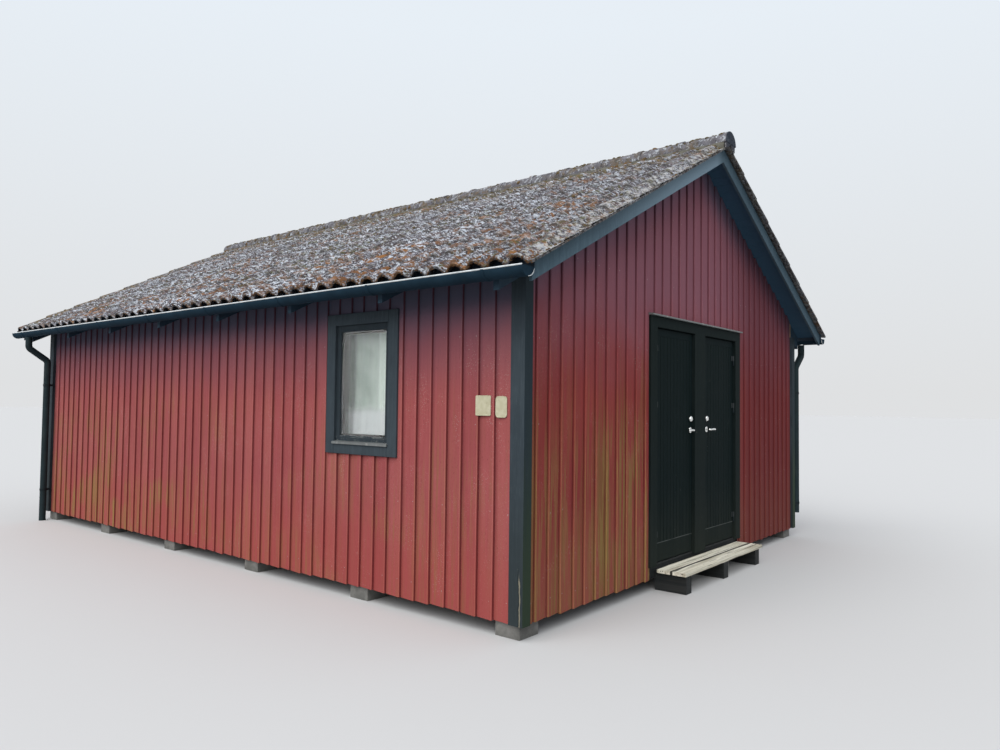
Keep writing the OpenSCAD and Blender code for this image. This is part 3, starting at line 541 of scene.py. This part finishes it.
class Shape:
    """Collects points, faces and one number a point for each named attribute."""

    def __init__(self, *attrs):
        self.v, self.f, self.attrs = [], [], {a: [] for a in attrs}

    def pts(self, pts, **vals):
        k = len(self.v)
        self.v.extend(pts)
        for a, lst in self.attrs.items():
            val = vals.get(a, 0.0)
            lst.extend(val if isinstance(val, (list, tuple)) else [val] * len(pts))
        return k

    def face(self, *idx):
        self.f.append(idx)

    def grid(self, k, nu, nv, flip=False, closed=False):
        for i in range(nu - 1):
            for j in range(nv if closed else nv - 1):
                a, b = k + i * nv + j, k + i * nv + (j + 1) % nv
                c, d = b + nv, a + nv
                self.f.append((d, c, b, a) if flip else (a, b, c, d))

    def fan(self, k, n, tip, flip=False):
        """Close a ring of n points with triangles to one point."""
        for i in range(n):
            a, b = k + i, k + (i + 1) % n
            self.f.append((b, a, tip) if flip else (a, b, tip))

    def stud(self, place, s, z, r, foot, tip, flip=False):
        """The head of a nail or screw: eight points round a tip, at two distances from the wall."""
        k = self.pts([place(s + r * cos(a), foot, z + r * sin(a)) for a in turn(8)]
                     + [place(s, tip, z)])
        self.fan(k, 8, k + 8, flip)

    def build(self, name, mat, body="house", smooth=False):
        me = bpy.data.meshes.new(name)
        me.from_pydata([tuple(p) for p in self.v], [], self.f)
        for a, lst in self.attrs.items():
            at = me.attributes.new(a, "FLOAT", "POINT")
            at.data.foreach_set("value", np.asarray(lst, dtype=np.float32))
        me.materials.append(mat)
        if smooth:
            me.shade_smooth()
        me.update()
        ob = scene_object(name, me)
        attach(ob, body)
        return ob


rng = random.Random(7)
uniform = rng.uniform


# ---- cladding
FACE, STEP = 0.024, 0.016  # how far a board's thick edge stands out, and its thin edge less
GROOVE = 0.0045  # the floor of the gap between two boards
NAIL_ROWS = (0.22, 0.8, 1.38, 1.96, 2.54, 3.12)


def board_profile(s0, s1, cuts):
    """Across one lapped board, as (share of the width, offset, height, painted groove shade, painted edge light)
    from thick edge to thin; the edge light is painted highlight above 0 and painted shade below 0.
    """
    w = s1 - s0
    pts = [(0, 0.0, GROOVE, 1.0, 0.0), (0, 0.0004, 0.0182, 0.7, 0.2), (0, 0.0016, 0.022, 0.15, 0.8),
           (0, 0.0046, FACE, 0.0, 1.0), (0, 0.01, 0.0241, 0.0, 0.0)]
    mids = [s0 + w * 0.4] + [c for c in cuts if s0 + 0.012 < c < s1 - 0.04]
    for s in sorted(mids):
        t = (s - s0) / w
        pts.append((t, 0.0, FACE - STEP * t, 0.0, 0.0))
    pts += [(1, -0.036, FACE - STEP * (1 - 0.036 / w), 0.0, 0.0), (1, -0.0046, 0.0082, 0.0, -1.0),
            (1, -0.0037, 0.0064, 0.8, -1.0), (1, -0.0034, GROOVE, 1.0, 0.0), (1, 0.0, GROOVE, 1.0, 0.0)]
    return pts


def wave(z, seed):
    """How far a board's edge strays sideways at a height."""
    return 0.0011 * sin(1.9 * z + seed) + 0.0006 * sin(5.3 * z + 2.7 * seed)


def clad(name, place, borders, spans, top, cuts, algae):
    """Boards between the borders and their nails; spans gives their pieces by height, None for the top."""
    sh, nails = Shape("rnd", "alg", "deep", "tone"), Shape()
    seeds = [uniform(0, 6.28) for _ in borders]
    amp = [0.0] + [1.0] * (len(borders) - 2) + [0.0]
    for i, (s0, s1) in enumerate(zip(borders, borders[1:])):
        r = rng.random()
        alg = algae(s0) * uniform(0.7, 1.0)
        drop = uniform(-0.004, 0.005)
        seed = uniform(0, 6.28)
        prof = board_profile(s0, s1, cuts)
        for (ta, oa, da, pa, na), (tb, ob_, db, pb, nb) in zip(prof, prof[1:]):
            ma, mb = s0 + (s1 - s0) * ta + oa, s0 + (s1 - s0) * tb + ob_
            for z0, z1 in spans((ma + mb) / 2):
                lo = z0 + drop if z0 == PIER else z0
                za, zb = [top(s) if z1 is None else z1 for s in (ma, mb)]
                rows = max(2, ceil((max(za, zb) - lo) / 0.3))
                pts = []
                for q in range(rows + 1):
                    for s, t, d, zt in ((ma, ta, da, za), (mb, tb, db, zb)):
                        z = lo + (zt - lo) * q / rows
                        ds = amp[i] * wave(z, seeds[i]) * (1 - t) + amp[i + 1] * wave(z, seeds[i + 1]) * t
                        dd = 0.0008 * sin(2.3 * z + seed) if d > 0.004 else 0.0
                        pts.append(place(s + ds, d + dd, z))
                k = sh.pts(pts, rnd=r, alg=alg, deep=[pa, pb] * (rows + 1), tone=[na, nb] * (rows + 1))
                sh.grid(k, rows + 1, 2)
        sn = s0 + 0.024
        for z in NAIL_ROWS:
            zz = z + uniform(-0.012, 0.012)
            on_board = any(a + 0.03 < zz < (b if b is not None else top(sn)) - 0.04 for a, b in spans(sn))
            if on_board and rng.random() < 0.93:
                at = sn + uniform(-0.004, 0.004)
                d = FACE - STEP * (at - s0) / (s1 - s0)
                nails.stud(place, at, zz, 0.0032, d + 0.0006, d + 0.0014)
    sh.build(name, RED)
    nails.build(name + "_nails", NAIL)


def run(a, b, pitch, spread=0.006):
    """Borders from a to b at about a pitch, each a little off."""
    n = max(1, round((b - a) / pitch))
    return [a] + [a + (b - a) * i / n + uniform(-spread, spread) for i in range(1, n)] + [b]


side_top = RAF_TOP0 - (H + 0.026) * TANP - 0.004
COVER = 0.03  # how far a casing covers the boards' ends
wy0, wy1 = WIN_Y - CAS_W + COVER, WIN_Y + CAS_W - COVER


def side_spans(s):
    if wy0 < s < wy1:
        return [(PIER, WIN_Z - CAS_H + COVER), (WIN_Z + CAS_H - COVER, None)]
    return [(PIER, None)]


def gable_top(s):
    return RAF_TOP0 - abs(s) * TANP - 0.003


DOORWAY, DOORWAY_TOP = 0.93, 2.235


def front_spans(s):
    return [(DOORWAY_TOP, None)] if abs(s) < DOORWAY else [(PIER, None)]


# the borders that the photo shows; the others follow its pitch
left_lines = [-3.686, -3.539, -3.397, -3.247, -3.108, -2.957, -2.812, -2.663, -2.507, -2.366, -2.215, -2.074,
              -1.924]
clad("left_cladding", lambda s, d, z: (-H - d, s, z), left_lines + run(-1.777, 3.686, 0.147), side_spans,
     lambda s: side_top, (wy0, wy1), lambda s: 0.28 + 0.62 * min(1.0, max(0.0, (s + 0.8) / 2.4)))
clad("right_cladding", lambda s, d, z: (H + d, s, z), run(-3.686, 3.686, 0.147), side_spans,
     lambda s: side_top, (wy0, wy1), lambda s: 0.3)
front_lines = [-2.565, -2.501, -2.354, -2.211, -2.049, -1.909, -1.764, -1.614, -1.464, -1.314, -1.164, -1.014,
               -0.849, -0.705, -0.546, -0.39, -0.239, -0.093, 0.069, 0.226, 0.376, 0.52, 0.681, 0.821, 0.979,
               1.115, 1.269, 1.413]
clad("front_cladding", lambda s, d, z: (s, Y_F - d, z), front_lines + run(1.563, 2.565, 0.15), front_spans,
     gable_top, (-DOORWAY, 0.0, DOORWAY), lambda s: 1.0 if -1.8 < s < -DOORWAY else 0.55 if s < -1.8 else 0.12)
clad("back_cladding", lambda s, d, z: (s, Y_B + d, z), run(-2.565, 2.565, 0.15),
     lambda s: [(PIER, None)], gable_top, (0.0,), lambda s: 0.35)


# ---- roof tiles
def roll_h(t):
    """Height of the tile's wave at t rolls, never under the CAD's straight facets."""
    def f(u):
        return ROLL_H * sqrt(max(0.0, 0.38 - cos(2 * pi * u) / 2) / 0.88)
    lo = floor(t * 8) / 8
    fr = t * 8 - floor(t * 8)
    return max(f(t), f(lo) * (1 - fr) + f(lo + 0.125) * fr)


def wave_h(yy):
    """The same at a distance from the verge, and 0 on the plain strips beside the rolls."""
    t = (yy - LIP) / ROLL_P
    return roll_h(t) if 0 <= t <= ROLLS else 0.0


COURSES = 9
COURSE_P = 3.262 / COURSES
# rows of points up a tile, as (distance, share of the rise, low): skirt foot (marked by a share
# under 0), skirt top, rounded nose, body, and two rows under the next course
TILE_ROWS = [(0.0, -1, 1.0), (0.0, 0.72, 1.0), (0.0035, 0.96, 0.97), (0.012, 1.0, 0.92), (0.12, 0.7, 0.6),
             (0.25, 0.34, 0.25), (COURSE_P - 0.02, 0.06, 0.03), (COURSE_P + 0.012, 0.0, 0.0)]


def tile_slope(side, name):
    """Courses of double-roll tiles, no two laid quite alike."""
    sh = Shape("rnd", "low")
    z0 = deck_top(TILE_U) + 0.0003

    def at(s, yy, n):
        return (side * (-TILE_U + s * COSP - n * SINP), VERGE_Y + yy, z0 + s * SINP + n * COSP)
    for c in range(COURSES):
        rise = 0.0145 if c else 0.003
        for k in range((ROLLS + 1) // 2):
            rolls = min(2, ROLLS - 2 * k)
            y0 = LIP + k * 2 * ROLL_P
            y1 = y0 + rolls * ROLL_P
            first, last = k == 0, 2 * k + rolls == ROLLS
            a, b = (0.0 if first else y0), (ROOF_L if last else y1)
            r = rng.random()
            ds = uniform(-0.004, 0.004) if c else uniform(-0.0015, 0.0015)
            dn = uniform(0.0, 0.0022)
            tw = uniform(-0.0015, 0.0015)
            n = 12 * rolls
            ys = [a + 0.0012] + [y0 + (y1 - y0) * i / n for i in range(1, n)] + [b - 0.0012]
            if first:
                ys = [0.0, LIP * 0.5, LIP] + ys[1:]
            if last:
                ys = ys[:-1] + [ROOF_L - LIP, ROOF_L - LIP * 0.5, ROOF_L]
            nv = len(ys)
            start = len(sh.v)
            for j, (ss, share, lw) in enumerate(TILE_ROWS):
                s = max(c * COURSE_P + ss + (ds if j < 6 else 0.0), 0.0005)
                pts = []
                for yy in ys:
                    top = wave_h(yy) + TILE_T
                    lift = 0.0006 + dn * (1 - ss / COURSE_P) + tw * (yy - y0) / (y1 - y0) * (1 - ss / COURSE_P)
                    pts.append(at(s, yy, top - 0.004 if share < 0 else top + max(0.0004, rise * share + lift)))
                sh.pts(pts, rnd=r, low=lw)
            sh.grid(start, len(TILE_ROWS), nv, flip=(side > 0))
            # the tile's two long sides
            for col, fl in ((0, True), (nv - 1, False)):
                idx = [start + j * nv + col for j in range(1, len(TILE_ROWS))]
                edge = [sh.v[i] for i in idx]
                kk = sh.pts([(x + side * 0.006 * SINP, y, z - 0.006 * COSP) for x, y, z in edge], rnd=r, low=0.5)
                for j in range(len(idx) - 1):
                    q = (idx[j], idx[j + 1], kk + j + 1, kk + j)
                    sh.face(*(q if fl == (side > 0) else q[::-1]))
    ob = sh.build(name, TILE, smooth=True)
    ob.data.set_sharp_from_angle(angle=radians(38))


for side, which in SLOPES:
    tile_slope(side, which + "_tile_courses")


# ---- moss cushions
MOSS_Y, MOSS_Z = 4.089, 3.979  # no cushion reaches past the CAD's box


def cushion(sh, p, n, r, h):
    """A lump of moss of radius r and height h on point p, out along n."""
    n = Vector(n).normalized()
    t = n.orthogonal().normalized()
    b = n.cross(t)
    p = Vector(p)
    m = 7
    ph = uniform(0, 6.28)
    rr = rng.random()
    pts = [p + (t * cos(ph + a) + b * sin(ph + a)) * (r * fr * uniform(0.75, 1.2))
           + n * (h * fh * uniform(0.85, 1.15))
           for fr, fh in ((1.0, -0.25), (0.86, 0.45), (0.45, 0.88)) for a in turn(m)]
    k = sh.pts([(v.x, max(-MOSS_Y, min(MOSS_Y, v.y)), min(MOSS_Z, v.z)) for v in pts + [p + n * h]], rnd=rr)
    sh.grid(k, 3, m, closed=True)
    sh.fan(k + 2 * m, m, k + 3 * m)


def moss_on(side, name):
    sh = Shape("rnd")
    nrm = Vector((-side * SINP, 0, COSP))

    def on_slope(s, yy, n, r, h):
        x = -TILE_U + s * COSP - n * SINP
        z = deck_top(TILE_U) + s * SINP + n * COSP
        cushion(sh, (side * x, VERGE_Y + yy, z), nrm, r, h)
    # along the ridge's foot
    y = VERGE_Y + 0.01
    while y < -VERGE_Y - 0.01:
        y += uniform(0.008, 0.03)
        u = RIDGE_FOOT + abs(rng.gauss(0, 0.022))
        z = deck_top(u) + (wave_h(y - VERGE_Y) + TILE_T) / COSP
        r = uniform(0.007, 0.026)
        cushion(sh, (-side * u, y, z), nrm, r, r * uniform(0.5, 0.9))
    # at the courses' edges and in the troughs
    for _ in range(1500):
        yy = uniform(0.01, ROOF_L - 0.01)
        t = (yy - LIP) / ROLL_P
        if rng.random() < 0.6 and 0.2 < t - floor(t) < 0.8:
            continue
        c = rng.randint(1, COURSES - 1) if rng.random() < 0.75 else None
        s = c * COURSE_P - uniform(0.0, 0.01) if c else uniform(0.05, 3.1)
        patch = sin(yy * 1.9 + 1.0) + sin(s * 2.3 + yy * 0.7) + 0.35 * s
        if uniform(-2.2, 2.6) > patch:
            continue
        r = min(0.022, abs(rng.gauss(0.007, 0.005)) + 0.003)
        on_slope(s, yy, wave_h(yy) + TILE_T + (0.001 if c else 0.004), r, r * uniform(0.4, 0.8))
    # on the lowest tiles' noses, most of it over the near half
    for _ in range(900):
        yy = abs(rng.gauss(0, 2.9)) + 0.01
        if yy > ROOF_L - 0.02:
            continue
        r = uniform(0.004, 0.013)
        s, n = (uniform(0.002, 0.07), 0.001) if rng.random() < 0.45 else (0.004, -uniform(0.0, 0.016))
        on_slope(s, yy, wave_h(yy) + TILE_T + n, r, r * uniform(0.5, 0.9))
    # along both rakes, thick on the far one
    for ye, many, most, inwards in ((0.02, 90, 0.015, 0.0), (ROOF_L - 0.02, 420, 0.021, 0.03)):
        for _ in range(many):
            s = uniform(0.02, 3.2)
            r = uniform(0.005, most)
            y = ye - (abs(rng.gauss(0, inwards)) if inwards else 0.0)
            on_slope(s, y + uniform(-0.004, 0.004), wave_h(y) + TILE_T + 0.003, r, r * 0.7)
    sh.build(name, MOSS, smooth=True)


for side, which in SLOPES:
    moss_on(side, which + "_moss")


def ridge_moss():
    sh = Shape("rnd")
    for _ in range(1000):
        y = uniform(VERGE_Y + 0.01, -VERGE_Y - 0.01)
        thick = sin(y * 1.7 + 0.6) + 0.8 * sin(y * 4.3) + 0.25 * y
        if uniform(-2.6, 1.6) > thick:
            continue
        a = rng.gauss(0, 0.55)
        if abs(a) > 1.45:
            continue
        n = (sin(a), 0, cos(a))
        p = (RIDGE_R * n[0], y, RIDGE_Z + RIDGE_R * n[2])
        r = uniform(0.007, 0.024)
        cushion(sh, p, n, r, min(r * uniform(0.35, 0.7), (3.98 - p[2]) / (1.03 * n[2])))
    sh.build("ridge_moss", MOSS, smooth=True)


ridge_moss()


# ---- ridge ends, bedding and eave strips
def ridge_plugs():
    """Mortar that closes both ends of the ridge down to the tiles, set back a little from its rim."""
    sh = Shape("rnd", "low")
    arc = [radians(i * 12) for i in range(16)]
    prof = [(0.099 * cos(a), RIDGE_Z + 0.099 * sin(a)) for a in arc]
    prof += [(-0.096, deck_top(0.096) + 0.016), (0.0, deck_top(0.0) + 0.012), (0.096, deck_top(0.096) + 0.016)]
    n = len(prof)
    for sy in (-1, 1):
        k = sh.pts([(x, sy * 4.072, z) for x, z in prof])
        sh.pts([(x, sy * 4.0868, z) for x, z in prof])
        sh.pts([(x * 0.97, sy * 4.088, RIDGE_Z + (z - RIDGE_Z) * 0.97) for x, z in prof])
        sh.grid(k, 3, n, flip=(sy > 0), closed=True)
        cap = tuple(range(k + 2 * n, k + 3 * n))
        sh.face(*(cap if sy < 0 else cap[::-1]))
    sh.build("ridge_end_plugs", RIDGE)


def bedding(side, name):
    """Mortar that fills the tiles' troughs under the ridge's foot."""
    sh = Shape("rnd", "low")
    n = ROLLS * 8
    top = RIDGE_Z + 0.003
    for i in range(n + 1):
        yy = 0.002 + (ROOF_L - 0.004) * i / n
        u = RIDGE_FOOT + (0.0025 * sin(yy * 31.0) + uniform(-0.0012, 0.0012))
        foot = deck_top(u + 0.006) + (wave_h(yy) + TILE_T) / COSP - 0.0005
        row = ((0.1035, top), (u - 0.003, top - 0.004), (u + 0.002, (top + foot) / 2), (u + 0.006, foot))
        sh.pts([(-side * x, VERGE_Y + yy, z) for x, z in row])
    sh.grid(0, n + 1, 4, flip=(side < 0))
    sh.build(name, BED, smooth=True)


def eave_strip(side, name):
    """A painted strip behind the tile noses, cut to their waves and reaching down behind the gutter."""
    sh = Shape()
    n = ROLLS * 8
    for i in range(n + 1):
        yy = LIP + (ROOF_L - 2 * LIP) * i / n
        sh.pts([(side * EAVE_U, VERGE_Y + yy, z) for z in (2.312, 2.35, deck_top(EAVE_U) + wave_h(yy) / COSP)])
    sh.grid(0, n + 1, 3, flip=(side > 0))
    sh.build(name, EAVE_P)


ridge_plugs()
for side, which in SLOPES:
    bedding(side, which + "_ridge_bedding")
for side, which in SIDES:
    eave_strip(side, which + "_eave_strip")


# ---- door leaves
def leaf(side, name, node, body):
    """A leaf with grooves inside a plain margin, a bevelled bottom rail and a chamfered top rail."""
    sh = Shape()
    x0, x1, z0, z1 = LEAF_X0, LEAF_X1, LEAF_Z0, LEAF_Z1
    pz0, pz1 = z0 + 0.155, z1 - 0.06
    xs, ds = [x0, x0 + 0.0015], [0.0015, 0.0]
    for i in range(GROOVES + 1):
        xg = PANEL_X0 + i * GROOVE_P
        xs += [xg - 0.0035, xg - 0.001, xg + 0.001, xg + 0.0035]
        ds += [0.0, 0.0042, 0.0042, 0.0]
    xs += [x1 - 0.0015, x1]
    ds += [0.0, 0.0015]
    nx = len(xs)
    # heights of the rows and how deep each lies: None beside the panel's edge, GROOVED on the panel
    GROOVED = -1.0
    rows = [(z0, 0.0015), (z0 + 0.0015, 0.0), (pz0 - 0.006, 0.0), (pz0, None), (pz0 + 0.004, GROOVED),
            (pz1 - 0.004, GROOVED), (pz1, None), (pz1 + 0.006, 0.0), (z1 - 0.0015, 0.0), (z1, 0.0015)]
    pts = []
    for z, depth in rows:
        for i, x in enumerate(xs):
            on_panel = PANEL_X0 - 0.004 <= x <= PANEL_X1 + 0.004
            edge = ds[i] if i in (0, nx - 1) else 0.0
            if depth == GROOVED:
                d = ds[i] + (0.003 if on_panel else 0.0)
            elif depth is None:
                d = 0.001 if on_panel else edge
            else:
                d = max(depth, edge)
            pts.append((side * x, LEAF_Y0 + d, z))
    sh.pts(pts)
    nz = len(rows)
    sh.grid(0, nz, nx, flip=(side < 0))
    # back and sides, from the front's outline
    ring = list(range(nx)) + [j * nx + nx - 1 for j in range(1, nz)]
    ring += [(nz - 1) * nx + i for i in range(nx - 2, -1, -1)] + [j * nx for j in range(nz - 2, 0, -1)]
    kb = sh.pts([(sh.v[i][0], LEAF_Y1, sh.v[i][2]) for i in ring])
    m = len(ring)
    for i in range(m):
        q = (ring[i], ring[(i + 1) % m], kb + (i + 1) % m, kb + i)
        sh.face(*(q[::-1] if side > 0 else q))
    back = tuple(kb + i for i in range(m))
    sh.face(*(back if side < 0 else back[::-1]))
    ob = sh.build(name, DOOR_P, body)
    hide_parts(node)


leaf(-1, "left_leaf_panel", "left_door", "left_leaf")
leaf(1, "right_leaf_panel", "right_door", "right_leaf")


# ---- levers and lock cylinders
def tube(sh, path, radii, seg):
    """A round tube along a path, closed at both ends."""
    pts = [Vector(p) for p in path]
    k0 = len(sh.v)
    for i, (p, r) in enumerate(zip(pts, radii)):
        d = (pts[min(i + 1, len(pts) - 1)] - pts[max(i - 1, 0)]).normalized()
        sv = d.cross(Vector((0, 0, 1)))
        sv = sv.normalized() if sv.length > 1e-4 else Vector((1, 0, 0))
        uv = sv.cross(d).normalized()
        sh.pts([tuple(p + sv * (r * cos(a)) + uv * (r * sin(a))) for a in turn(seg)])
    sh.grid(k0, len(pts), seg, closed=True)
    tips = sh.pts([tuple(pts[0]), tuple(pts[-1])])
    sh.fan(k0, seg, tips, flip=True)
    sh.fan(k0 + (len(pts) - 1) * seg, seg, tips + 1)


def lever(side, name, node, body):
    """The two handles of one lever, outside and inside: neck, bend and grip."""
    sh = Shape()
    bend = 0.014
    x0 = side * LEVER_X
    for out, y_leaf, yo in ((-1, LEAF_Y0 - 0.008, -3.824), (1, LEAF_Y1 + 0.008, -3.686)):
        path = [(x0, y_leaf + (yo - y_leaf) * t, LEVER_Z) for t in (0.0, 0.3, 0.6)]
        for a in (20, 45, 70, 90):
            a = radians(a)
            path.append((x0 + side * bend * (1 - cos(a)), yo - out * bend * (1 - sin(a)), LEVER_Z))
        grip = (0.2, 0.45, 0.7, 0.88, 1.0)
        path += [(x0 + side * (bend + 0.092 * t), yo, LEVER_Z + 0.002 * sin(t * 3.1)) for t in grip]
        path.append((x0 + side * 0.1095, yo, LEVER_Z))
        radii = [0.0085] * 3 + [0.0088] * 4 + [0.0085 + 0.0022 * sin(t * 2.4) for t in grip] + [0.0045]
        tube(sh, path, radii, 20)
    ob = sh.build(name, CHROME, body, smooth=True)
    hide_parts(node)


lever(-1, "left_lever_handle", "left_lever", "left_handle")
lever(1, "right_lever_handle", "right_lever", "right_handle")


def turned(sh, cx, cz, y0, prof, seg=28):
    """A form turned about Y: prof holds (distance outwards, radius)."""
    k0 = len(sh.v)
    for d, r in prof:
        sh.pts([(cx + r * cos(a), y0 - d, cz + r * sin(a)) for a in turn(seg)])
    sh.grid(k0, len(prof), seg, closed=True)


ROSE = ((0.0, 0.0262), (0.002, 0.0258), (0.0035, 0.0235), (0.0042, 0.019), (0.0045, 0.0096))
DOME = ((-0.006, 0.0262), (0.004, 0.0255), (0.009, 0.0225), (0.0125, 0.017), (0.014, 0.0095), (0.0142, 0.0))
for side, which in SIDES:
    sh = Shape()
    turned(sh, side * LEVER_X, LEVER_Z, LEAF_Y0 - 0.008, ROSE)
    turned(sh, side * LEVER_X, LEVER_Z + 0.1, LEAF_Y0 - 0.011, DOME)
    sh.build(which + "_lock_dome", CHROME, which + "_leaf", smooth=True)

# ---- gutter lips and cap rims, coloured as painted highlights
for side, which in SIDES:
    lip = Shape()
    ys = [-4.04 + i * 8.08 / 24 for i in range(25)]
    tube(lip, [(side * 3.0048, y, 2.3322) for y in ys], [0.0056] * 25, 10)
    lip.build(which + "_gutter_bead", LIP_GLINT, smooth=True)
    # a painted highlight: a pale rim on the inner side of each end cap
    rim = Shape()
    arc = [radians(-88 + i * 8) for i in range(11)]
    for y in (-4.041, 4.041):
        tube(rim, [(side * (GUTTER_U - GUTTER_R * cos(a)), y, GUTTER_Z + GUTTER_R * sin(a)) for a in arc],
             [0.0018 + 0.0012 * sin(i * pi / 10) for i in range(11)], 8)
    rim.build(which + "_gutter_cap_rims", LIP_GLINT, smooth=True)


# ---- windows
def board(sh, lo, hi, b=0.0022):
    """A sawn board with its edges eased: a box whose twelve edges are cut off by b."""
    mid = [(l + h) / 2 for l, h in zip(lo, hi)]
    half = [(h - l) / 2 for l, h in zip(lo, hi)]
    signs = (-1, 1)
    corners = [(sx, sy, sz) for sx in signs for sy in signs for sz in signs]
    # three points a corner, one on each of its faces
    idx = {(s, ax): sh.pts([tuple(mid[i] + s[i] * (half[i] if i == ax else half[i] - b) for i in range(3))])
           for s in corners for ax in range(3)}

    def face(pts, out):
        pa, pb, pc = (Vector(sh.v[i]) for i in pts[:3])
        sh.face(*(pts if (pb - pa).cross(pc - pa).dot(Vector(out)) > 0 else pts[::-1]))
    for ax in range(3):
        o1, o2 = [i for i in range(3) if i != ax]

        def triple(v, v1, v2):
            t = [0, 0, 0]
            t[ax], t[o1], t[o2] = v, v1, v2
            return tuple(t)
        for v in signs:
            face([idx[triple(v, *q), ax] for q in ((-1, -1), (1, -1), (1, 1), (-1, 1))], triple(v, 0, 0))
        for v1 in signs:
            for v2 in signs:
                a, c = triple(-1, v1, v2), triple(1, v1, v2)
                face([idx[a, o1], idx[c, o1], idx[c, o2], idx[a, o2]], triple(0, v1, v2))
    for s in corners:
        face([idx[s, i] for i in range(3)], s)


def frame_boards(sh, side, x0, x1, ow, oh, iw, ih, joint=0.0008):
    """Four boards round an opening: the sides run from top to bottom."""
    xa, xb = sorted((side * x0, side * x1))
    for sy in (-1, 1):
        a, b = sorted((WIN_Y + sy * ow, WIN_Y + sy * iw))
        board(sh, (xa, a, WIN_Z - oh), (xb, b, WIN_Z + oh))
    for sz in (-1, 1):
        a, b = sorted((WIN_Z + sz * oh, WIN_Z + sz * ih))
        board(sh, (xa, WIN_Y - iw + joint, a), (xb, WIN_Y + iw - joint, b))


casings, sashes, panes = Shape(), Shape(), Shape()
for side in (-1, 1):
    frame_boards(casings, side, H + 0.0003, H + TRIM, CAS_W, CAS_H, 0.3075, 0.46)
    frame_boards(sashes, side, 2.59, 2.628, 0.307, 0.4595, 0.2625, 0.408)
    xa, xb = sorted((side * 2.618, side * 2.624))
    board(panes, (xa, WIN_Y - 0.2628, WIN_Z - 0.4083), (xb, WIN_Y + 0.2628, WIN_Z + 0.4083), 0.0004)
ob = casings.build("window_casing_boards", TRIM_P)
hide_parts("window_casings")
sashes.build("window_sashes", SASH_P)
ob = panes.build("window_panes", GLASS)
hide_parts("window_glass")

# ---- curtain
HALF_W, FOLDS = 0.36, 8.0
NF, NZ = 97, 25
(cx0, _, cz0), (cx1, _, cz1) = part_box("curtain")
xm, depth = (cx0 + cx1) / 2, (cx1 - cx0) / 2 - 0.003
grid = np.zeros((NZ, NF, 3))
for j in range(NZ):
    t = j / (NZ - 1)
    for i in range(NF):
        s = i / (NF - 1)
        ph = 2 * pi * (FOLDS * s + 0.25 * sin(3.2 * s + 2.0 * t))
        a = depth * (0.75 + 0.2 * sin(5 * s + 3 * t))
        grid[j, i] = (xm + a * sin(ph), WIN_Y - HALF_W + 2 * HALF_W * s, cz1 - (cz1 - cz0) * t)
sh = Shape()
sh.pts([tuple(p) for p in grid.reshape(-1, 3)])
sh.grid(0, NZ, NF)
curtain = sh.build("curtain_sheet", CLOTH, smooth=True)
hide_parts("curtain")


# ---- plates on the long wall
def plate(name, y0, y1, z0, z1, r):
    """A bare plate with corners of radius r, a raised rim and four screw heads."""
    sh = Shape()
    x = -H - 0.0246
    prof = []
    for cy, cz, a0 in ((y1 - r, z1 - r, 0), (y0 + r, z1 - r, 90), (y0 + r, z0 + r, 180), (y1 - r, z0 + r, 270)):
        for i in range(6):
            a = radians(a0 + i * 18)
            prof.append((cy, cz, cos(a), sin(a)))
    n = len(prof)
    rings = [sh.pts([(x + dx, cy + (r - ins) * c, cz + (r - ins) * s) for cy, cz, c, s in prof]) for dx, ins in
             ((0.0, 0.0), (-0.003, 0.0), (-0.004, 0.001), (-0.004, 0.005), (-0.0032, 0.006))]
    sh.grid(rings[0], len(rings), n, flip=True, closed=True)
    sh.fan(rings[-1], n, sh.pts([(x - 0.003, (y0 + y1) / 2, (z0 + z1) / 2)]), flip=True)
    for sy in (y0 + 0.01, y1 - 0.01):
        for sz in (z0 + 0.01, z1 - 0.01):
            sh.stud(lambda s, d, z: (x - d, s, z), sy, sz, 0.003, 0.0034, 0.0048, flip=True)
    sh.build(name, PLATE)


plate("number_plate", -3.513, -3.381, 1.432, 1.567, 0.008)
plate("crest_plate", -3.651, -3.555, 1.422, 1.563, 0.022)


# ---- stage and light
def seen_share(tree):
    """1 on camera, glossy and transmission rays, 0 on the rays that light the object."""
    camera, glossy, through = [Val(tree, new_node(tree, "LightPath").outputs[f"Is {ray} Ray"])
                               for ray in ("Camera", "Glossy", "Transmission")]
    return camera.max(glossy).max(through)


S = 140.0  # half the floor's width
fl = bpy.data.meshes.new("floor_plane")
fl.from_pydata([(-S, -S, 0), (S, -S, 0), (S, S, 0), (-S, S, 0)], [], [(0, 1, 2, 3)])
ground = scene_object("studio_floor", fl)
ground.location.z = -0.0005
fmat = bpy.data.materials.new("studio_floor")
fmat.use_nodes = True
ft = fmat.node_tree
for name, v in (("Base Color", seen_share(ft).mix((0.3, 0.3, 0.295), (0.6, 0.605, 0.61))),
                ("Roughness", 1.0), ("Specular IOR Level", 0.0)):
    put(ft, ft.nodes["Principled BSDF"].inputs[name], v)
fl.materials.append(fmat)

world = bpy.data.worlds.new("studio")
world.use_nodes = True
bpy.context.scene.world = world
wt = world.node_tree
wt.nodes.clear()
direction = Val(wt, new_node(wt, "TexCoord").outputs["Generated"])
rise = direction.node("SeparateXYZ", {0: direction}, out=2)
light = rise.lin(0.0, 0.9).mix((0.37, 0.405, 0.46), (0.8, 0.83, 0.87))
seen = rise.lin(0.02, 0.45).mix((0.74, 0.75, 0.76), (0.8, 0.86, 0.92))
light, seen = [c.node("Background", {0: c, 1: 1.0}) for c in (light, seen)]
both = light.node("MixShader", {0: seen_share(wt), 1: light, 2: seen})
new_node(wt, "OutputWorld", {0: both})

sun_data = bpy.data.lights.new("soft_key", "SUN")
sun_data.energy = 2.5
sun_data.angle = radians(70)
sun_data.color = (1.0, 0.975, 0.94)
sun = scene_object("soft_key", sun_data)
sun.rotation_euler = Vector((-0.7, -0.16, 0.7)).to_track_quat("Z", "Y").to_euler()

bpy.context.scene.view_settings.view_transform = "Standard"
